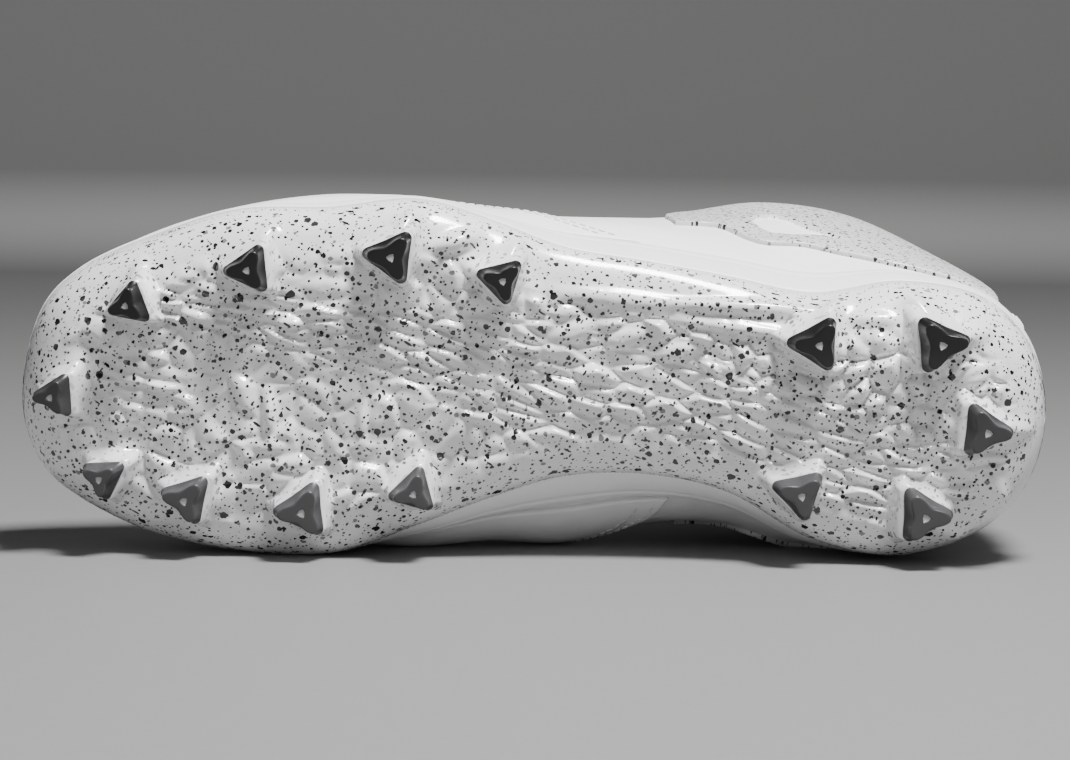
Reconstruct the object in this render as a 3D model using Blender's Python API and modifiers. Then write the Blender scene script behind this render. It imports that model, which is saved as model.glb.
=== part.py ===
"""A left mid-top basketball shoe with a studded plate, lying on its inner side.

The shoe is worked out upright in its own frame: x runs from the heel to the toe, y to the
outer side of the foot and z up from the plane of the stud tips. An empty then lays it down
on its inner side, sole towards -Y and toe towards -X. Lengths are in metres.
"""

from collections import namedtuple
from math import pi, radians, sqrt

import bmesh
import bpy
import numpy as np
from mathutils import Matrix, Vector
from mathutils.bvhtree import BVHTree

# Driving sizes of the whole shoe
LENGTH = 0.302
BALL_WIDTH = 0.105
HEEL_WIDTH = 0.0815
INSTEP_HEIGHT = 0.100
COLLAR_HEIGHT = 0.141
RIM_HEIGHT = 0.0255

# Studded plate
STUD_HEIGHT = 0.0115
CAP_HEIGHT = 0.0045
CAP_DRAFT = 0.0013
CAP_EDGE = 0.0004
STUD_WAIST = 0.57
FOOT_FLARE = 0.0048
FOOT_SIDE_SHARE = 0.5
FOOT_MARGIN = 0.0020
PLATE_THICKNESS = 0.0028
PLATE_LIP = 0.0022
BOWL_WIDTH = 0.014
TOE_SPRING = 0.009
SPRING_START = 0.72
ARCH_RISE = 0.004

# Foam midsole and loose insole
FOAM_HEEL = 0.009
FOAM_TOE = 0.007
FOAM_WALL = 0.0028
INSOLE_THICKNESS = 0.004
INSOLE_EDGE = 0.0008

# Upper, tongue and what is sewn on
UPPER_WALL = 0.0024
COLLAR_PAD = 0.0040
BASE_INSET = 0.0060
BASE_LIFT = 0.0008
OVERLAY = 0.0010
OVERLAY_LIFT = 0.00045
OVERLAY_START = 0.19
SLAB_REACH = 0.004
TONGUE_THICKNESS = 0.0045
TONGUE_CLEARANCE = 0.0010
TONGUE_CROWN = 0.003
TONGUE_RISES = (0.88, 1)
TONGUE_RISE = 0.030
TONGUE_LEAN = 0.10
EYELETS = 6
EYELET_RADIUS = 0.0022
EYELET_RISE = 0.895
LACE_WIDTH = 0.0065
LACE_THICKNESS = 0.0016
LACE_CLEARANCE = 0.0021
LACE_CROWN = 0.0020
LACE_EDGE_RISE = 1.0
LACE_EDGE_SHARE = 0.3
LACE_END = 0.0024
LACE_LIFT = 0.0005

# Touching pieces stay this far apart
GAP = 0.0003

# Numbers of samples. RISES are the heights of the upper's rows, from sole, 0, to top line, 1.
PER_SECTION = 2
STAR_TURNS = (-9, 9, 45, 75)
EYELET_SIDES = 6
FLAT_TURN = 0.3
WALL_RISE = 0.17
RISES = (0, WALL_RISE / 2, WALL_RISE, 0.27, 0.38, 0.50, 0.62, 0.75, 0.88, 1)
TRAY_SHARES = (0, 0.66, 0.88, 0.97, 1)

# Edge of the plate, seen from below: one row for each section, toe first. along is a share of
# LENGTH from the heel; outer and inner are shares of the breadth there; up of RIM_HEIGHT.
Edge = namedtuple("Edge", "along outer inner up")
EDGE = (
    Edge(1.000, -0.029, -0.029, 1.33),
    Edge(0.982, 0.208, -0.214, 1.31),
    Edge(0.941, 0.341, -0.316, 1.26),
    Edge(0.870, 0.439, -0.407, 1.14),
    Edge(0.785, 0.520, -0.450, 0.98),
    Edge(0.695, 0.531, -0.450, 0.86),
    Edge(0.611, 0.552, -0.371, 0.93),
    Edge(0.536, 0.499, -0.296, 0.94),
    Edge(0.467, 0.448, -0.252, 0.94),
    Edge(0.387, 0.441, -0.269, 0.94),
    Edge(0.308, 0.420, -0.355, 0.94),
    Edge(0.228, 0.371, -0.532, 0.96),
    Edge(0.144, 0.411, -0.598, 1.00),
    Edge(0.065, 0.353, -0.513, 1.04),
    Edge(0.017, 0.182, -0.337, 1.06),
    Edge(0.000, -0.074, -0.074, 1.06),
)

# Side of the last at the same sections: girth is the fullest place low down, shoulder the turn
# above it. out and in_ are shares of the breadth, up of the section's own height unit.
Side = namedtuple("Side", "girth_out girth_in girth_up shoulder_out shoulder_in shoulder_up")
SIDE = (
    Side(-0.029, -0.029, 0.450, -0.024, -0.024, 0.550),
    Side(0.188, -0.210, 0.450, 0.130, -0.152, 0.565),
    Side(0.314, -0.314, 0.445, 0.238, -0.248, 0.590),
    Side(0.418, -0.405, 0.435, 0.335, -0.329, 0.620),
    Side(0.490, -0.438, 0.420, 0.400, -0.371, 0.660),
    Side(0.521, -0.446, 0.420, 0.425, -0.392, 0.710),
    Side(0.517, -0.470, 0.440, 0.412, -0.405, 0.770),
    Side(0.489, -0.468, 0.470, 0.394, -0.408, 0.830),
    Side(0.492, -0.508, 0.459, 0.398, -0.430, 0.817),
    Side(0.510, -0.508, 0.401, 0.438, -0.460, 0.741),
    Side(0.510, -0.548, 0.383, 0.484, -0.535, 0.738),
    Side(0.480, -0.640, 0.390, 0.525, -0.612, 0.759),
    Side(0.440, -0.622, 0.390, 0.470, -0.592, 0.759),
    Side(0.345, -0.498, 0.390, 0.306, -0.435, 0.766),
    Side(0.190, -0.325, 0.383, 0.166, -0.282, 0.766),
    Side(-0.074, -0.074, 0.383, -0.061, -0.061, 0.766),
)

# Top line at the same sections: the ridge of the vamp, the edges of the throat, then the
# collar. along is a share of LENGTH, middle and half of the breadth, up of the height unit.
Top = namedtuple("Top", "along middle half up")
TOP = (
    Top(0.946, -0.019, 0.000, 0.600),
    Top(0.930, -0.014, 0.000, 0.618),
    Top(0.899, -0.010, 0.000, 0.648),
    Top(0.849, 0.000, 0.000, 0.690),
    Top(0.790, 0.019, 0.000, 0.740),
    Top(0.730, 0.029, 0.000, 0.810),
    Top(0.661, 0.029, 0.143, 0.900),
    Top(0.593, 0.029, 0.165, 1.000),
    Top(0.526, 0.020, 0.184, 1.028),
    Top(0.459, 0.000, 0.223, 0.957),
    Top(0.392, -0.024, 0.300, 0.965),
    Top(0.303, -0.043, 0.442, 0.929),
    Top(0.204, -0.055, 0.466, 0.901),
    Top(0.104, -0.061, 0.331, 0.943),
    Top(0.045, -0.061, 0.160, 0.986),
    Top(0.022, -0.061, 0.000, 1.000),
)

SECTIONS = len(EDGE) - 1
RING = 2 * SECTIONS
THROAT_START = 5
COLLAR_FRONT = 10
GIRTH_LEAN = 0.10
SHOULDER_LEAN = 0.45

# Studs, seen from above: along is a share of LENGTH from the heel, across of the breadth,
# turn the direction of the leading corner in degrees from the toe, size the tip's corner radius.
Stud = namedtuple("Stud", "name along across turn size")
STUDS = (
    Stud("toe", 0.957, 0.020, -3, 0.0054),
    Stud("outer_1", 0.884, 0.283, -20, 0.0054),
    Stud("outer_2", 0.770, 0.386, -5, 0.0061),
    Stud("outer_3", 0.635, 0.422, 7, 0.0069),
    Stud("outer_4", 0.532, 0.361, 17, 0.0058),
    Stud("inner_1", 0.912, -0.207, 26, 0.0053),
    Stud("inner_2", 0.832, -0.262, 12, 0.0065),
    Stud("inner_3", 0.722, -0.293, -5, 0.0072),
    Stud("inner_4", 0.616, -0.240, -14, 0.0059),
    Stud("heel_outer_1", 0.226, 0.229, 2, 0.0071),
    Stud("heel_outer_2", 0.109, 0.229, 174, 0.0075),
    Stud("heel_back", 0.064, -0.087, 185, 0.0070),
    Stud("heel_inner_1", 0.240, -0.317, 17, 0.0067),
    Stud("heel_inner_2", 0.122, -0.396, 181, 0.0074),
)

# Colour, roughness and density (kg/m3) of each kind of material
Finish = namedtuple("Finish", "colour roughness density")
FINISHES = {
    "plate": Finish((0.78, 0.78, 0.79), 0.30, 1150),
    "cap": Finish((0.035, 0.035, 0.037), 0.32, 1150),
    "foam": Finish((0.88, 0.88, 0.89), 0.60, 220),
    "leather": Finish((0.86, 0.86, 0.87), 0.45, 850),
    "panel": Finish((0.62, 0.62, 0.63), 0.35, 1150),
    "lining": Finish((0.55, 0.55, 0.56), 0.85, 450),
    "lace": Finish((0.85, 0.85, 0.86), 0.80, 700),
}
DENSITIES = {}


def smoothstep(value, low, high):
    """0 below low, 1 above high and a smooth turn between them."""
    share = np.clip((np.asarray(value, float) - low) / (high - low), 0.0, 1.0)
    return share * share * (3 - 2 * share)


def breadth(along):
    """The width that shares across the foot follow: the heel's behind, the ball's in front."""
    return HEEL_WIDTH + (BALL_WIDTH - HEEL_WIDTH) * smoothstep(along, 0.25, 0.60)


def height_unit(along):
    """The height that shares upwards follow: the collar's behind, the instep's in front."""
    return COLLAR_HEIGHT + (INSTEP_HEIGHT - COLLAR_HEIGHT) * smoothstep(along, 0.31, 0.54)


def closed_spline(points, place):
    """Catmull-Rom curve through points joined end to end, at place counted in points."""
    count = len(points)
    first = np.floor(place).astype(int)
    part = (place - first)[(...,) + (None,) * (points.ndim - 1)]
    a, b, c, d = (points[(first + step) % count] for step in (-1, 0, 1, 2))
    return spline_mix(a, b, c, d, part)


def spline_mix(a, b, c, d, part):
    """The Catmull-Rom point between b and c."""
    return 0.5 * (
        2 * b
        + (c - a) * part
        + (2 * a - 5 * b + 4 * c - d) * part**2
        + (3 * b - a - 3 * c + d) * part**3
    )


def ring_rows(inner, outer):
    """Values down the inner side from the toe, then up the outer side, as one closed ring."""
    return np.array([*inner, *outer[-2:0:-1]], float)


ALONG = np.array([row.along for row in EDGE])
UNITS = breadth(ALONG)
HEIGHTS = height_unit(ALONG)
EDGE_RING = ring_rows(
    [(r.along * LENGTH, r.inner * w, r.up * RIM_HEIGHT) for r, w in zip(EDGE, UNITS)],
    [(r.along * LENGTH, r.outer * w, r.up * RIM_HEIGHT) for r, w in zip(EDGE, UNITS)],
)


def edge(place):
    """Points on the plate's edge at ring places: 0 is the toe, SECTIONS the heel."""
    return closed_spline(EDGE_RING, np.asarray(place, float))


def edge_inset(place, inset):
    """The plate's edge moved in by inset, in plan."""
    step = 0.02
    points = edge(place)
    run = edge(place + step) - edge(place - step)
    run[..., 2] = 0
    run /= np.linalg.norm(run, axis=-1, keepdims=True)
    points[..., 0] += run[..., 1] * inset
    points[..., 1] -= run[..., 0] * inset
    return points


OUTLINE = edge(np.linspace(0, RING, 240, endpoint=False))


def bottom_up(x):
    """Height of the plate's underside along its middle: arch and toe spring."""
    along = np.asarray(x, float) / LENGTH
    spring = np.clip((along - SPRING_START) / (1 - SPRING_START), 0, None)
    arch = smoothstep(along, 0.22, 0.40) * (1 - smoothstep(along, 0.44, 0.64))
    return STUD_HEIGHT + TOE_SPRING * spring**2 + ARCH_RISE * arch


def bowl(x, y, inset=0.0):
    """0 on the flat of the plate, 1 at an edge moved in by inset: a quarter ellipse."""
    x, y = np.asarray(x, float), np.asarray(y, float)
    gaps = np.hypot(x[..., None] - OUTLINE[:, 0], y[..., None] - OUTLINE[:, 1])
    near = np.clip((gaps.min(-1) - inset) / BOWL_WIDTH, 0, 1)
    return 1 - np.sqrt(np.clip(1 - (1 - near) ** 2, 0, 1))


def plate_up(x, y):
    """Height of the plate's outside at a place in plan."""
    near = np.hypot(
        np.asarray(x, float)[..., None] - OUTLINE[:, 0],
        np.asarray(y, float)[..., None] - OUTLINE[:, 1],
    ).argmin(-1)
    floor = bottom_up(x)
    return floor + (OUTLINE[near, 2] - floor) * bowl(x, y)


def ring_places(per_section=PER_SECTION):
    """Evenly spaced ring places that include every section."""
    return np.arange(RING * per_section) / per_section


def tray(places, inset, lift, shares):
    """Rings of a bowl that follows the plate: shares run from the middle line, 0, to 1."""
    rim = edge_inset(places, inset)
    across = edge_inset(RING - places, inset)
    middle = (rim + across) / 2
    rings = []
    for share in shares:
        ring = middle + (rim - middle) * share
        floor = bottom_up(ring[:, 0]) + lift
        raised = bowl(ring[:, 0], ring[:, 1], inset) if share < 1 else 1.0
        ring[:, 2] = floor + (rim[:, 2] - floor) * raised
        rings.append(ring)
    return rings


def foam_under(x):
    """Thickness of the foam under the foot, thicker at the heel."""
    along = np.asarray(x, float) / LENGTH
    return FOAM_HEEL + (FOAM_TOE - FOAM_HEEL) * smoothstep(along, 0.25, 0.65)


def floor_up(x):
    """Top of the midsole under the foot."""
    return bottom_up(x) + PLATE_THICKNESS + GAP + foam_under(x)


def side_ring(column_in, column_out, column_up, lean):
    """Ring of control points for the girth or the shoulder."""
    rows = []
    for column in (column_in, column_out):
        rows.append(
            [
                (
                    (e.along + (t.along - e.along) * lean) * LENGTH,
                    getattr(s, column) * w,
                    getattr(s, column_up) * h,
                )
                for e, s, t, w, h in zip(EDGE, SIDE, TOP, UNITS, HEIGHTS)
            ]
        )
    return ring_rows(*rows)


GIRTH_RING = side_ring("girth_in", "girth_out", "girth_up", GIRTH_LEAN)
SHOULDER_RING = side_ring("shoulder_in", "shoulder_out", "shoulder_up", SHOULDER_LEAN)
TOP_ROWS = [
    (t.along * LENGTH, t.middle * w, t.half * w, t.up * h)
    for t, w, h in zip(TOP, UNITS, HEIGHTS)
]
TOP_RING = ring_rows(TOP_ROWS, TOP_ROWS)


def section_of(place):
    """Section number from the toe, on either side."""
    place = np.asarray(place, float) % RING
    return np.minimum(place, RING - place)


def top_line(place):
    """Top edge of the upper, and how open it is: 0 on the vamp, 1 along throat and collar."""
    place = np.asarray(place, float)
    row = closed_spline(TOP_RING, place)
    half = np.where(section_of(place) <= THROAT_START, 0, np.clip(row[..., 2], 0, None))
    side = np.where(place % RING > SECTIONS, 1.0, -1.0)
    points = np.stack([row[..., 0], row[..., 1] + side * half, row[..., 3]], -1)
    open_share = np.clip(half / (0.08 * BALL_WIDTH), 0, 1)
    open_share = np.where(section_of(place) > COLLAR_FRONT, 1, open_share)
    return points, open_share[..., None]


def upper_surface(place, rise):
    """Outside of the upper: place round the ring, rise from 0 at the sole to 1 on top.

    Each section is a Catmull-Rom curve through base, girth, shoulder and top.
    """
    place, rise = np.broadcast_arrays(np.asarray(place, float), np.asarray(rise, float))
    base = edge_inset(place, BASE_INSET)
    base[..., 2] = floor_up(base[..., 0]) + BASE_LIFT
    girth = closed_spline(GIRTH_RING, place)
    shoulder = closed_spline(SHOULDER_RING, place)
    top, open_share = top_line(place)
    across = closed_spline(SHOULDER_RING, RING - place)
    beyond = across + (2 * top - shoulder - across) * open_share
    ridge = closed_spline(TOP_RING, section_of(place) + 2)[..., [0, 1, 3]]
    pole = 1 - smoothstep(section_of(place), 0, 1.2)[..., None]
    beyond = beyond + (ridge - beyond) * pole
    below = 2 * base - girth
    below[..., :2] = base[..., :2]
    net = [below, base, girth, shoulder, top, beyond]
    scaled = np.clip(rise, 0, 1) * 3
    span = np.minimum(scaled.astype(int), 2)
    part = (scaled - span)[..., None]
    points = np.empty(place.shape + (3,))
    for index in range(3):
        here = span == index
        mixed = spline_mix(*net[index : index + 4], part)
        points[here] = mixed[here]
    return points


def upper_normal(place, rise):
    """Direction straight out of the upper, by finite differences."""
    step = 0.01
    place, rise = np.broadcast_arrays(np.asarray(place, float), np.asarray(rise, float))
    round_ = upper_surface(place + step, rise) - upper_surface(place - step, rise)
    high, low = np.clip(rise + step, 0, 1), np.clip(rise - step, 0, 1)
    upward = upper_surface(place, high) - upper_surface(place, low)
    normal = np.cross(upward, round_)
    return normal / np.linalg.norm(normal, axis=-1, keepdims=True)


def upper_offset(place, rise, out):
    """The upper's outside moved out by out, or in where it is negative."""
    out = np.asarray(out, float)[..., None]
    return upper_surface(place, rise) + upper_normal(place, rise) * out


def padding(place, rise):
    """Share of the collar's padding at a place: none in front, all of it at the collar."""
    behind = smoothstep(section_of(place), COLLAR_FRONT - 0.5, COLLAR_FRONT + 1)
    return behind * smoothstep(rise, 0.55, 0.85)


def wall_at(place, rise):
    """Thickness of the upper's wall."""
    return UPPER_WALL + COLLAR_PAD * padding(place, rise)


def material_for(kind):
    """One material for each kind of finish."""
    material = bpy.data.materials.get(kind) or bpy.data.materials.new(kind)
    finish = FINISHES[kind]
    material.use_nodes = True
    shader = material.node_tree.nodes["Principled BSDF"]
    shader.inputs["Base Color"].default_value = (*finish.colour, 1)
    shader.inputs["Roughness"].default_value = finish.roughness
    shader.inputs["Metallic"].default_value = 0.0
    material.diffuse_color = (*finish.colour, 1)
    return material


def add_object(name, mesh, kind, parent, smooth=True):
    """Links a mesh as one named part under the empty."""
    made = bpy.data.objects.new(name, mesh)
    parent.users_collection[0].objects.link(made)
    made.parent = parent
    mesh.materials.clear()
    mesh.materials.append(material_for(kind))
    if smooth:
        mesh.shade_smooth()
        mesh.set_sharp_from_angle(angle=radians(40))
    DENSITIES[made.name] = FINISHES[kind].density
    return made


def mesh_of(name, points, faces, merge=1e-6):
    """A mesh with doubled points merged and its faces turned outwards."""
    work = bmesh.new()
    vertices = [work.verts.new(p) for p in points]
    for face in faces:
        work.faces.new([vertices[i] for i in face])
    bmesh.ops.remove_doubles(work, verts=work.verts, dist=merge)
    bmesh.ops.dissolve_degenerate(work, edges=work.edges, dist=merge)
    bmesh.ops.recalc_face_normals(work, faces=work.faces)
    if work.calc_volume(signed=True) < 0:
        bmesh.ops.reverse_faces(work, faces=work.faces)
    mesh = bpy.data.meshes.new(name)
    work.to_mesh(mesh)
    work.free()
    return mesh


def strip_faces(rows, columns, round_=True):
    """Quads between rows of points; round_ joins the last column to the first."""
    faces = []
    for row in range(rows - 1):
        for column in range(columns if round_ else columns - 1):
            after = (column + 1) % columns
            low, high = row * columns, (row + 1) * columns
            faces.append((low + column, low + after, high + after, high + column))
    return faces


def split(quads, points):
    """Each quad as two triangles across its shorter diagonal, alike on parallel surfaces."""
    halves = []
    for a, b, c, d in quads:
        if np.linalg.norm(points[a] - points[c]) <= np.linalg.norm(points[b] - points[d]):
            halves += [(a, b, c), (a, c, d)]
        else:
            halves += [(a, b, d), (b, c, d)]
    return halves


def ring_solid(name, rings, kind, parent):
    """A closed solid from rings that start and end on the middle line."""
    points = np.concatenate(rings)
    faces = split(strip_faces(len(rings), len(rings[0])), points)
    return add_object(name, mesh_of(name, points, faces), kind, parent)


def stack_solid(name, rings, kind, parent, smooth=True):
    """A closed solid from rings whose first and last are filled round their middle."""
    count = len(rings[0])
    points = np.concatenate([*rings, [rings[0].mean(0)], [rings[-1].mean(0)]])
    faces = split(strip_faces(len(rings), count), points)
    last = (len(rings) - 1) * count
    for column in range(count):
        after = (column + 1) % count
        faces.append((after, column, len(points) - 2))
        faces.append((last + column, last + after, len(points) - 1))
    return add_object(name, mesh_of(name, points, faces), kind, parent, smooth)


def folded_solid(name, top, under, kind, parent):
    """A closed solid between two grids of points of one shape."""
    rows, columns = top.shape[:2]
    rim = [*range(columns)]
    rim += [row * columns + columns - 1 for row in range(1, rows)]
    rim += [(rows - 1) * columns + column for column in range(columns - 2, -1, -1)]
    rim += [row * columns for row in range(rows - 2, 0, -1)]
    points = np.concatenate([top.reshape(-1, 3), under.reshape(-1, 3)])
    below = rows * columns
    flat = strip_faces(rows, columns, round_=False)
    quads = flat + [tuple(corner + below for corner in quad) for quad in flat]
    quads += [(a, b, b + below, a + below) for a, b in zip(rim, rim[1:] + rim[:1])]
    return add_object(name, mesh_of(name, points, split(quads, points)), kind, parent)


def combine(target, operation, others):
    """Applies one Boolean with all the other solids together and drops them."""
    operands = bpy.data.collections.new("operands")
    for other in others:
        operands.objects.link(other)
    modifier = target.modifiers.new(operation.lower(), "BOOLEAN")
    modifier.operation = operation
    modifier.solver = "EXACT"
    modifier.operand_type = "COLLECTION"
    modifier.collection = operands
    bake(target)
    join_flat_faces(target)
    for other in others:
        DENSITIES.pop(other.name)
        bpy.data.objects.remove(other)
    bpy.data.collections.remove(operands)
    target.data.shade_smooth()
    target.data.set_sharp_from_angle(angle=radians(40))


def join_flat_faces(target):
    """Joins the slivers that a Boolean leaves where the surface stays flat."""
    work = bmesh.new()
    work.from_mesh(target.data)
    bmesh.ops.dissolve_limit(
        work, angle_limit=radians(FLAT_TURN), verts=work.verts, edges=work.edges
    )
    bmesh.ops.triangulate(work, faces=work.faces)
    work.to_mesh(target.data)
    work.free()


def bake(target):
    """Applies every modifier of an object to its mesh."""
    bpy.context.view_layer.update()
    graph = bpy.context.evaluated_depsgraph_get()
    mesh = bpy.data.meshes.new_from_object(target.evaluated_get(graph))
    target.modifiers.clear()
    target.data = mesh


def solidify(target, thickness, outwards):
    """Gives an open sheet its thickness on one side."""
    modifier = target.modifiers.new("wall", "SOLIDIFY")
    modifier.thickness = thickness
    modifier.offset = 1.0 if outwards else -1.0
    modifier.use_even_offset = True
    return modifier


def star(stud, corner, side):
    """Three blunt corners and hollow sides between them, corner and side being two radii."""
    angles = np.add.outer(np.arange(3) * 360 / 3, STAR_TURNS).reshape(-1)
    radius = np.tile([corner, corner, side, side], 3)
    turned = np.radians(angles + stud.turn)
    return np.stack([radius * np.cos(turned), radius * np.sin(turned)], -1)


def stud_frame(stud):
    """Middle of the stud's tip, and its axes: forwards, outwards and up into the plate."""
    x = stud.along * LENGTH
    y = stud.across * breadth(stud.along)
    step = 0.001
    slope = float(bottom_up(x + step) - bottom_up(x - step)) / (2 * step)
    up = np.array([-slope, 0, 1]) / sqrt(1 + slope * slope)
    forward = np.array([1, 0, slope]) / sqrt(1 + slope * slope)
    root = np.array([x, y, float(bottom_up(x))])
    return root - up * STUD_HEIGHT, forward, np.array([0.0, 1.0, 0.0]), up


def stud_ring(stud, corner, side, up_by):
    """A star at a height above the stud's tip."""
    tip, forward, outward, up = stud_frame(stud)
    flat = star(stud, corner, side)
    return tip + flat[:, :1] * forward + flat[:, 1:] * outward + up * up_by


def make_cap(stud, parent):
    """The dark wear tip of a stud, with its edge eased."""
    corner, side = stud.size, stud.size * STUD_WAIST
    rings = [
        stud_ring(stud, corner - CAP_EDGE, side - CAP_EDGE, 0),
        stud_ring(stud, corner, side, CAP_EDGE),
        stud_ring(stud, corner + CAP_DRAFT, side + CAP_DRAFT, CAP_HEIGHT),
    ]
    return stack_solid(f"cap_{stud.name}", rings, "cap", parent)


def make_foot(stud, parent):
    """The white foot of a stud: a three-finned ramp from the plate to the cap."""
    corner, side = stud.size + CAP_DRAFT, stud.size * STUD_WAIST + CAP_DRAFT
    rings = [stud_ring(stud, corner, side, CAP_HEIGHT + GAP)]
    tip = stud_frame(stud)[0]
    room = np.hypot(*(OUTLINE[:, :2] - tip[:2]).T).min() - corner - FOOT_MARGIN
    flare = min(FOOT_FLARE, room)
    wide = stud_ring(stud, corner + flare, side + flare * FOOT_SIDE_SHARE, STUD_HEIGHT)
    middle = wide.mean(0)
    for share, sink in ((1.0, 0.0), (1.0, 0.5), (0.5, 0.45)):
        ring = middle + (wide - middle) * share
        ring[:, 2] = plate_up(ring[:, 0], ring[:, 1]) + sink * PLATE_THICKNESS
        rings.append(ring)
    return stack_solid(f"foot_{stud.name}", rings, "plate", parent)


def make_plate(parent):
    """Bowl-shaped plate with a flat lip, and a finned foot for each stud."""
    places = ring_places()
    outside = tray(places, 0, 0, TRAY_SHARES)
    inside = tray(places, PLATE_LIP, PLATE_THICKNESS, TRAY_SHARES)
    plate = ring_solid("plate", outside + inside[::-1], "plate", parent)
    combine(plate, "UNION", [make_foot(stud, parent) for stud in STUDS])


def make_midsole(parent):
    """Foam that fills the plate, laps over its lip and cups the foot of the upper."""
    places = ring_places()
    rings = tray(places, PLATE_LIP + GAP, PLATE_THICKNESS + GAP, TRAY_SHARES)
    lip = edge(places)
    rings[-1][:, 2] += GAP
    lip[:, 2] += GAP
    crest = upper_offset(places, WALL_RISE, GAP + FOAM_WALL)
    rings += [lip, crest]
    rings += [upper_offset(places, WALL_RISE * part, GAP) for part in (1, 0.5, 0)]
    base = edge_inset(places, BASE_INSET)
    across = edge_inset(RING - places, BASE_INSET)
    middle = (base + across) / 2
    for part in (1, 0):
        ring = middle + (base - middle) * part
        ring[:, 2] = floor_up(ring[:, 0])
        rings.append(ring)
    return ring_solid("midsole", rings, "foam", parent)


def make_insole(parent):
    """Loose footbed on the midsole, inside the upper."""
    places = ring_places()
    inset = BASE_INSET + UPPER_WALL + INSOLE_EDGE
    rings = []
    for part, up in ((0, 0), (1, 0), (1, 1), (0, 1)):
        rim = edge_inset(places, inset)
        middle = (rim + edge_inset(RING - places, inset)) / 2
        ring = middle + (rim - middle) * part
        ring[:, 2] = floor_up(ring[:, 0]) + GAP + up * INSOLE_THICKNESS
        rings.append(ring)
    return ring_solid("insole", rings, "lining", parent)


def face_out(mesh, normals, points):
    """Turns a sheet's faces to the side that the normals show."""
    face = mesh.polygons[len(mesh.polygons) // 2]
    near = np.linalg.norm(points - np.array(face.center), axis=1).argmin()
    if Vector(normals[near]).dot(face.normal) < 0:
        mesh.flip_normals()


def sheet(name, places, rises, out, kind, parent, round_=False):
    """An open sheet beside the upper: places and rises are grids of one shape."""
    points = upper_offset(places, rises, out).reshape(-1, 3)
    faces = split(strip_faces(*places.shape, round_), points)
    made = add_object(name, mesh_of(name, points, faces), kind, parent)
    face_out(made.data, upper_normal(places, rises).reshape(-1, 3), points)
    return made


def whole_sheet(name, out, kind, parent):
    """A sheet over the whole upper, on the same rows and columns every time."""
    places, rises = np.meshgrid(ring_places(), np.array(RISES))
    return sheet(name, places, rises, out, kind, parent, round_=True)


def make_upper(parent):
    """One hollow shell on the last: closed over the vamp, open at throat, collar and sole."""
    made = whole_sheet("upper", 0, "leather", parent)
    places, rises = (grid.reshape(-1) for grid in np.meshgrid(ring_places(), np.array(RISES)))
    points = upper_surface(places, rises)
    shares = padding(places, rises)
    pad = made.vertex_groups.new(name="padding")
    for vertex in made.data.vertices:
        near = np.linalg.norm(points - np.array(vertex.co), axis=1).argmin()
        pad.add([vertex.index], float(shares[near]), "REPLACE")
    wall = solidify(made, UPPER_WALL + COLLAR_PAD, outwards=False)
    wall.vertex_group = pad.name
    wall.thickness_vertex_group = UPPER_WALL / (UPPER_WALL + COLLAR_PAD)
    bake(made)


def slab(places, rises, kind, parent):
    """A cutter that stands through the upper's outside over a grid of places."""
    made = sheet("cutter", places, rises, -SLAB_REACH, kind, parent)
    solidify(made, 3 * SLAB_REACH, outwards=True)
    bake(made)
    return made


def overlay(name, kind, parent, places, rises):
    """A panel sewn on the upper. Where the upper turns sharply its grid is the upper's own."""
    made = sheet(name, places, rises, OVERLAY_LIFT, kind, parent)
    solidify(made, OVERLAY, outwards=True)
    bake(made)
    return made


def band(places, low, high, rows):
    """Grid between two lines of rises along places."""
    share = np.linspace(0, 1, rows)[:, None]
    rises = low + (high - low) * share
    return np.broadcast_to(places, rises.shape), rises


def side_places(start, end, outer):
    """The upper's own columns between two sections on one side of the shoe."""
    places = np.arange(start * PER_SECTION, end * PER_SECTION + 1) / PER_SECTION
    return RING - places if outer else places


# Back edge of the toe guard: the section that it reaches at each rise, on either side
GuardEnd = namedtuple("GuardEnd", "rise outer inner")
GUARD_ENDS = (
    GuardEnd(0.19, 9.0, 9.3),
    GuardEnd(0.27, 8.2, 9.1),
    GuardEnd(0.38, 7.2, 8.5),
    GuardEnd(0.50, 6.2, 8.0),
)
GUARD_SPLIT = 5.5
GUARD_STEPS = 7


def make_toe_guard(parent):
    """Leather guard round the toe and forefoot, ending in a slant at the midfoot."""
    front = np.arange(-GUARD_SPLIT * PER_SECTION, GUARD_SPLIT * PER_SECTION + 1) / PER_SECTION
    share = np.arange(1, GUARD_STEPS + 1) / GUARD_STEPS
    rises, outer, inner = np.array(GUARD_ENDS).T[..., None]
    middle = np.broadcast_to(front, (len(rises), len(front)))
    far = -GUARD_SPLIT - (outer - GUARD_SPLIT) * share[::-1]
    near = GUARD_SPLIT + (inner - GUARD_SPLIT) * share
    places = np.concatenate([far, middle, near], 1)
    overlay("toe_guard", "leather", parent, places, np.broadcast_to(rises, places.shape))


EYESTAY_RISES = (0.75, 0.88, 1.0)


def make_eyestay(outer, parent):
    """Reinforcing strip along one edge of the throat."""
    places = side_places(THROAT_START + 0.5, COLLAR_FRONT, outer)
    rises = np.array(EYESTAY_RISES)[:, None]
    grid = np.broadcast_arrays(places, rises)
    overlay("eyestay_outer" if outer else "eyestay_inner", "leather", parent, *grid)


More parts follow.
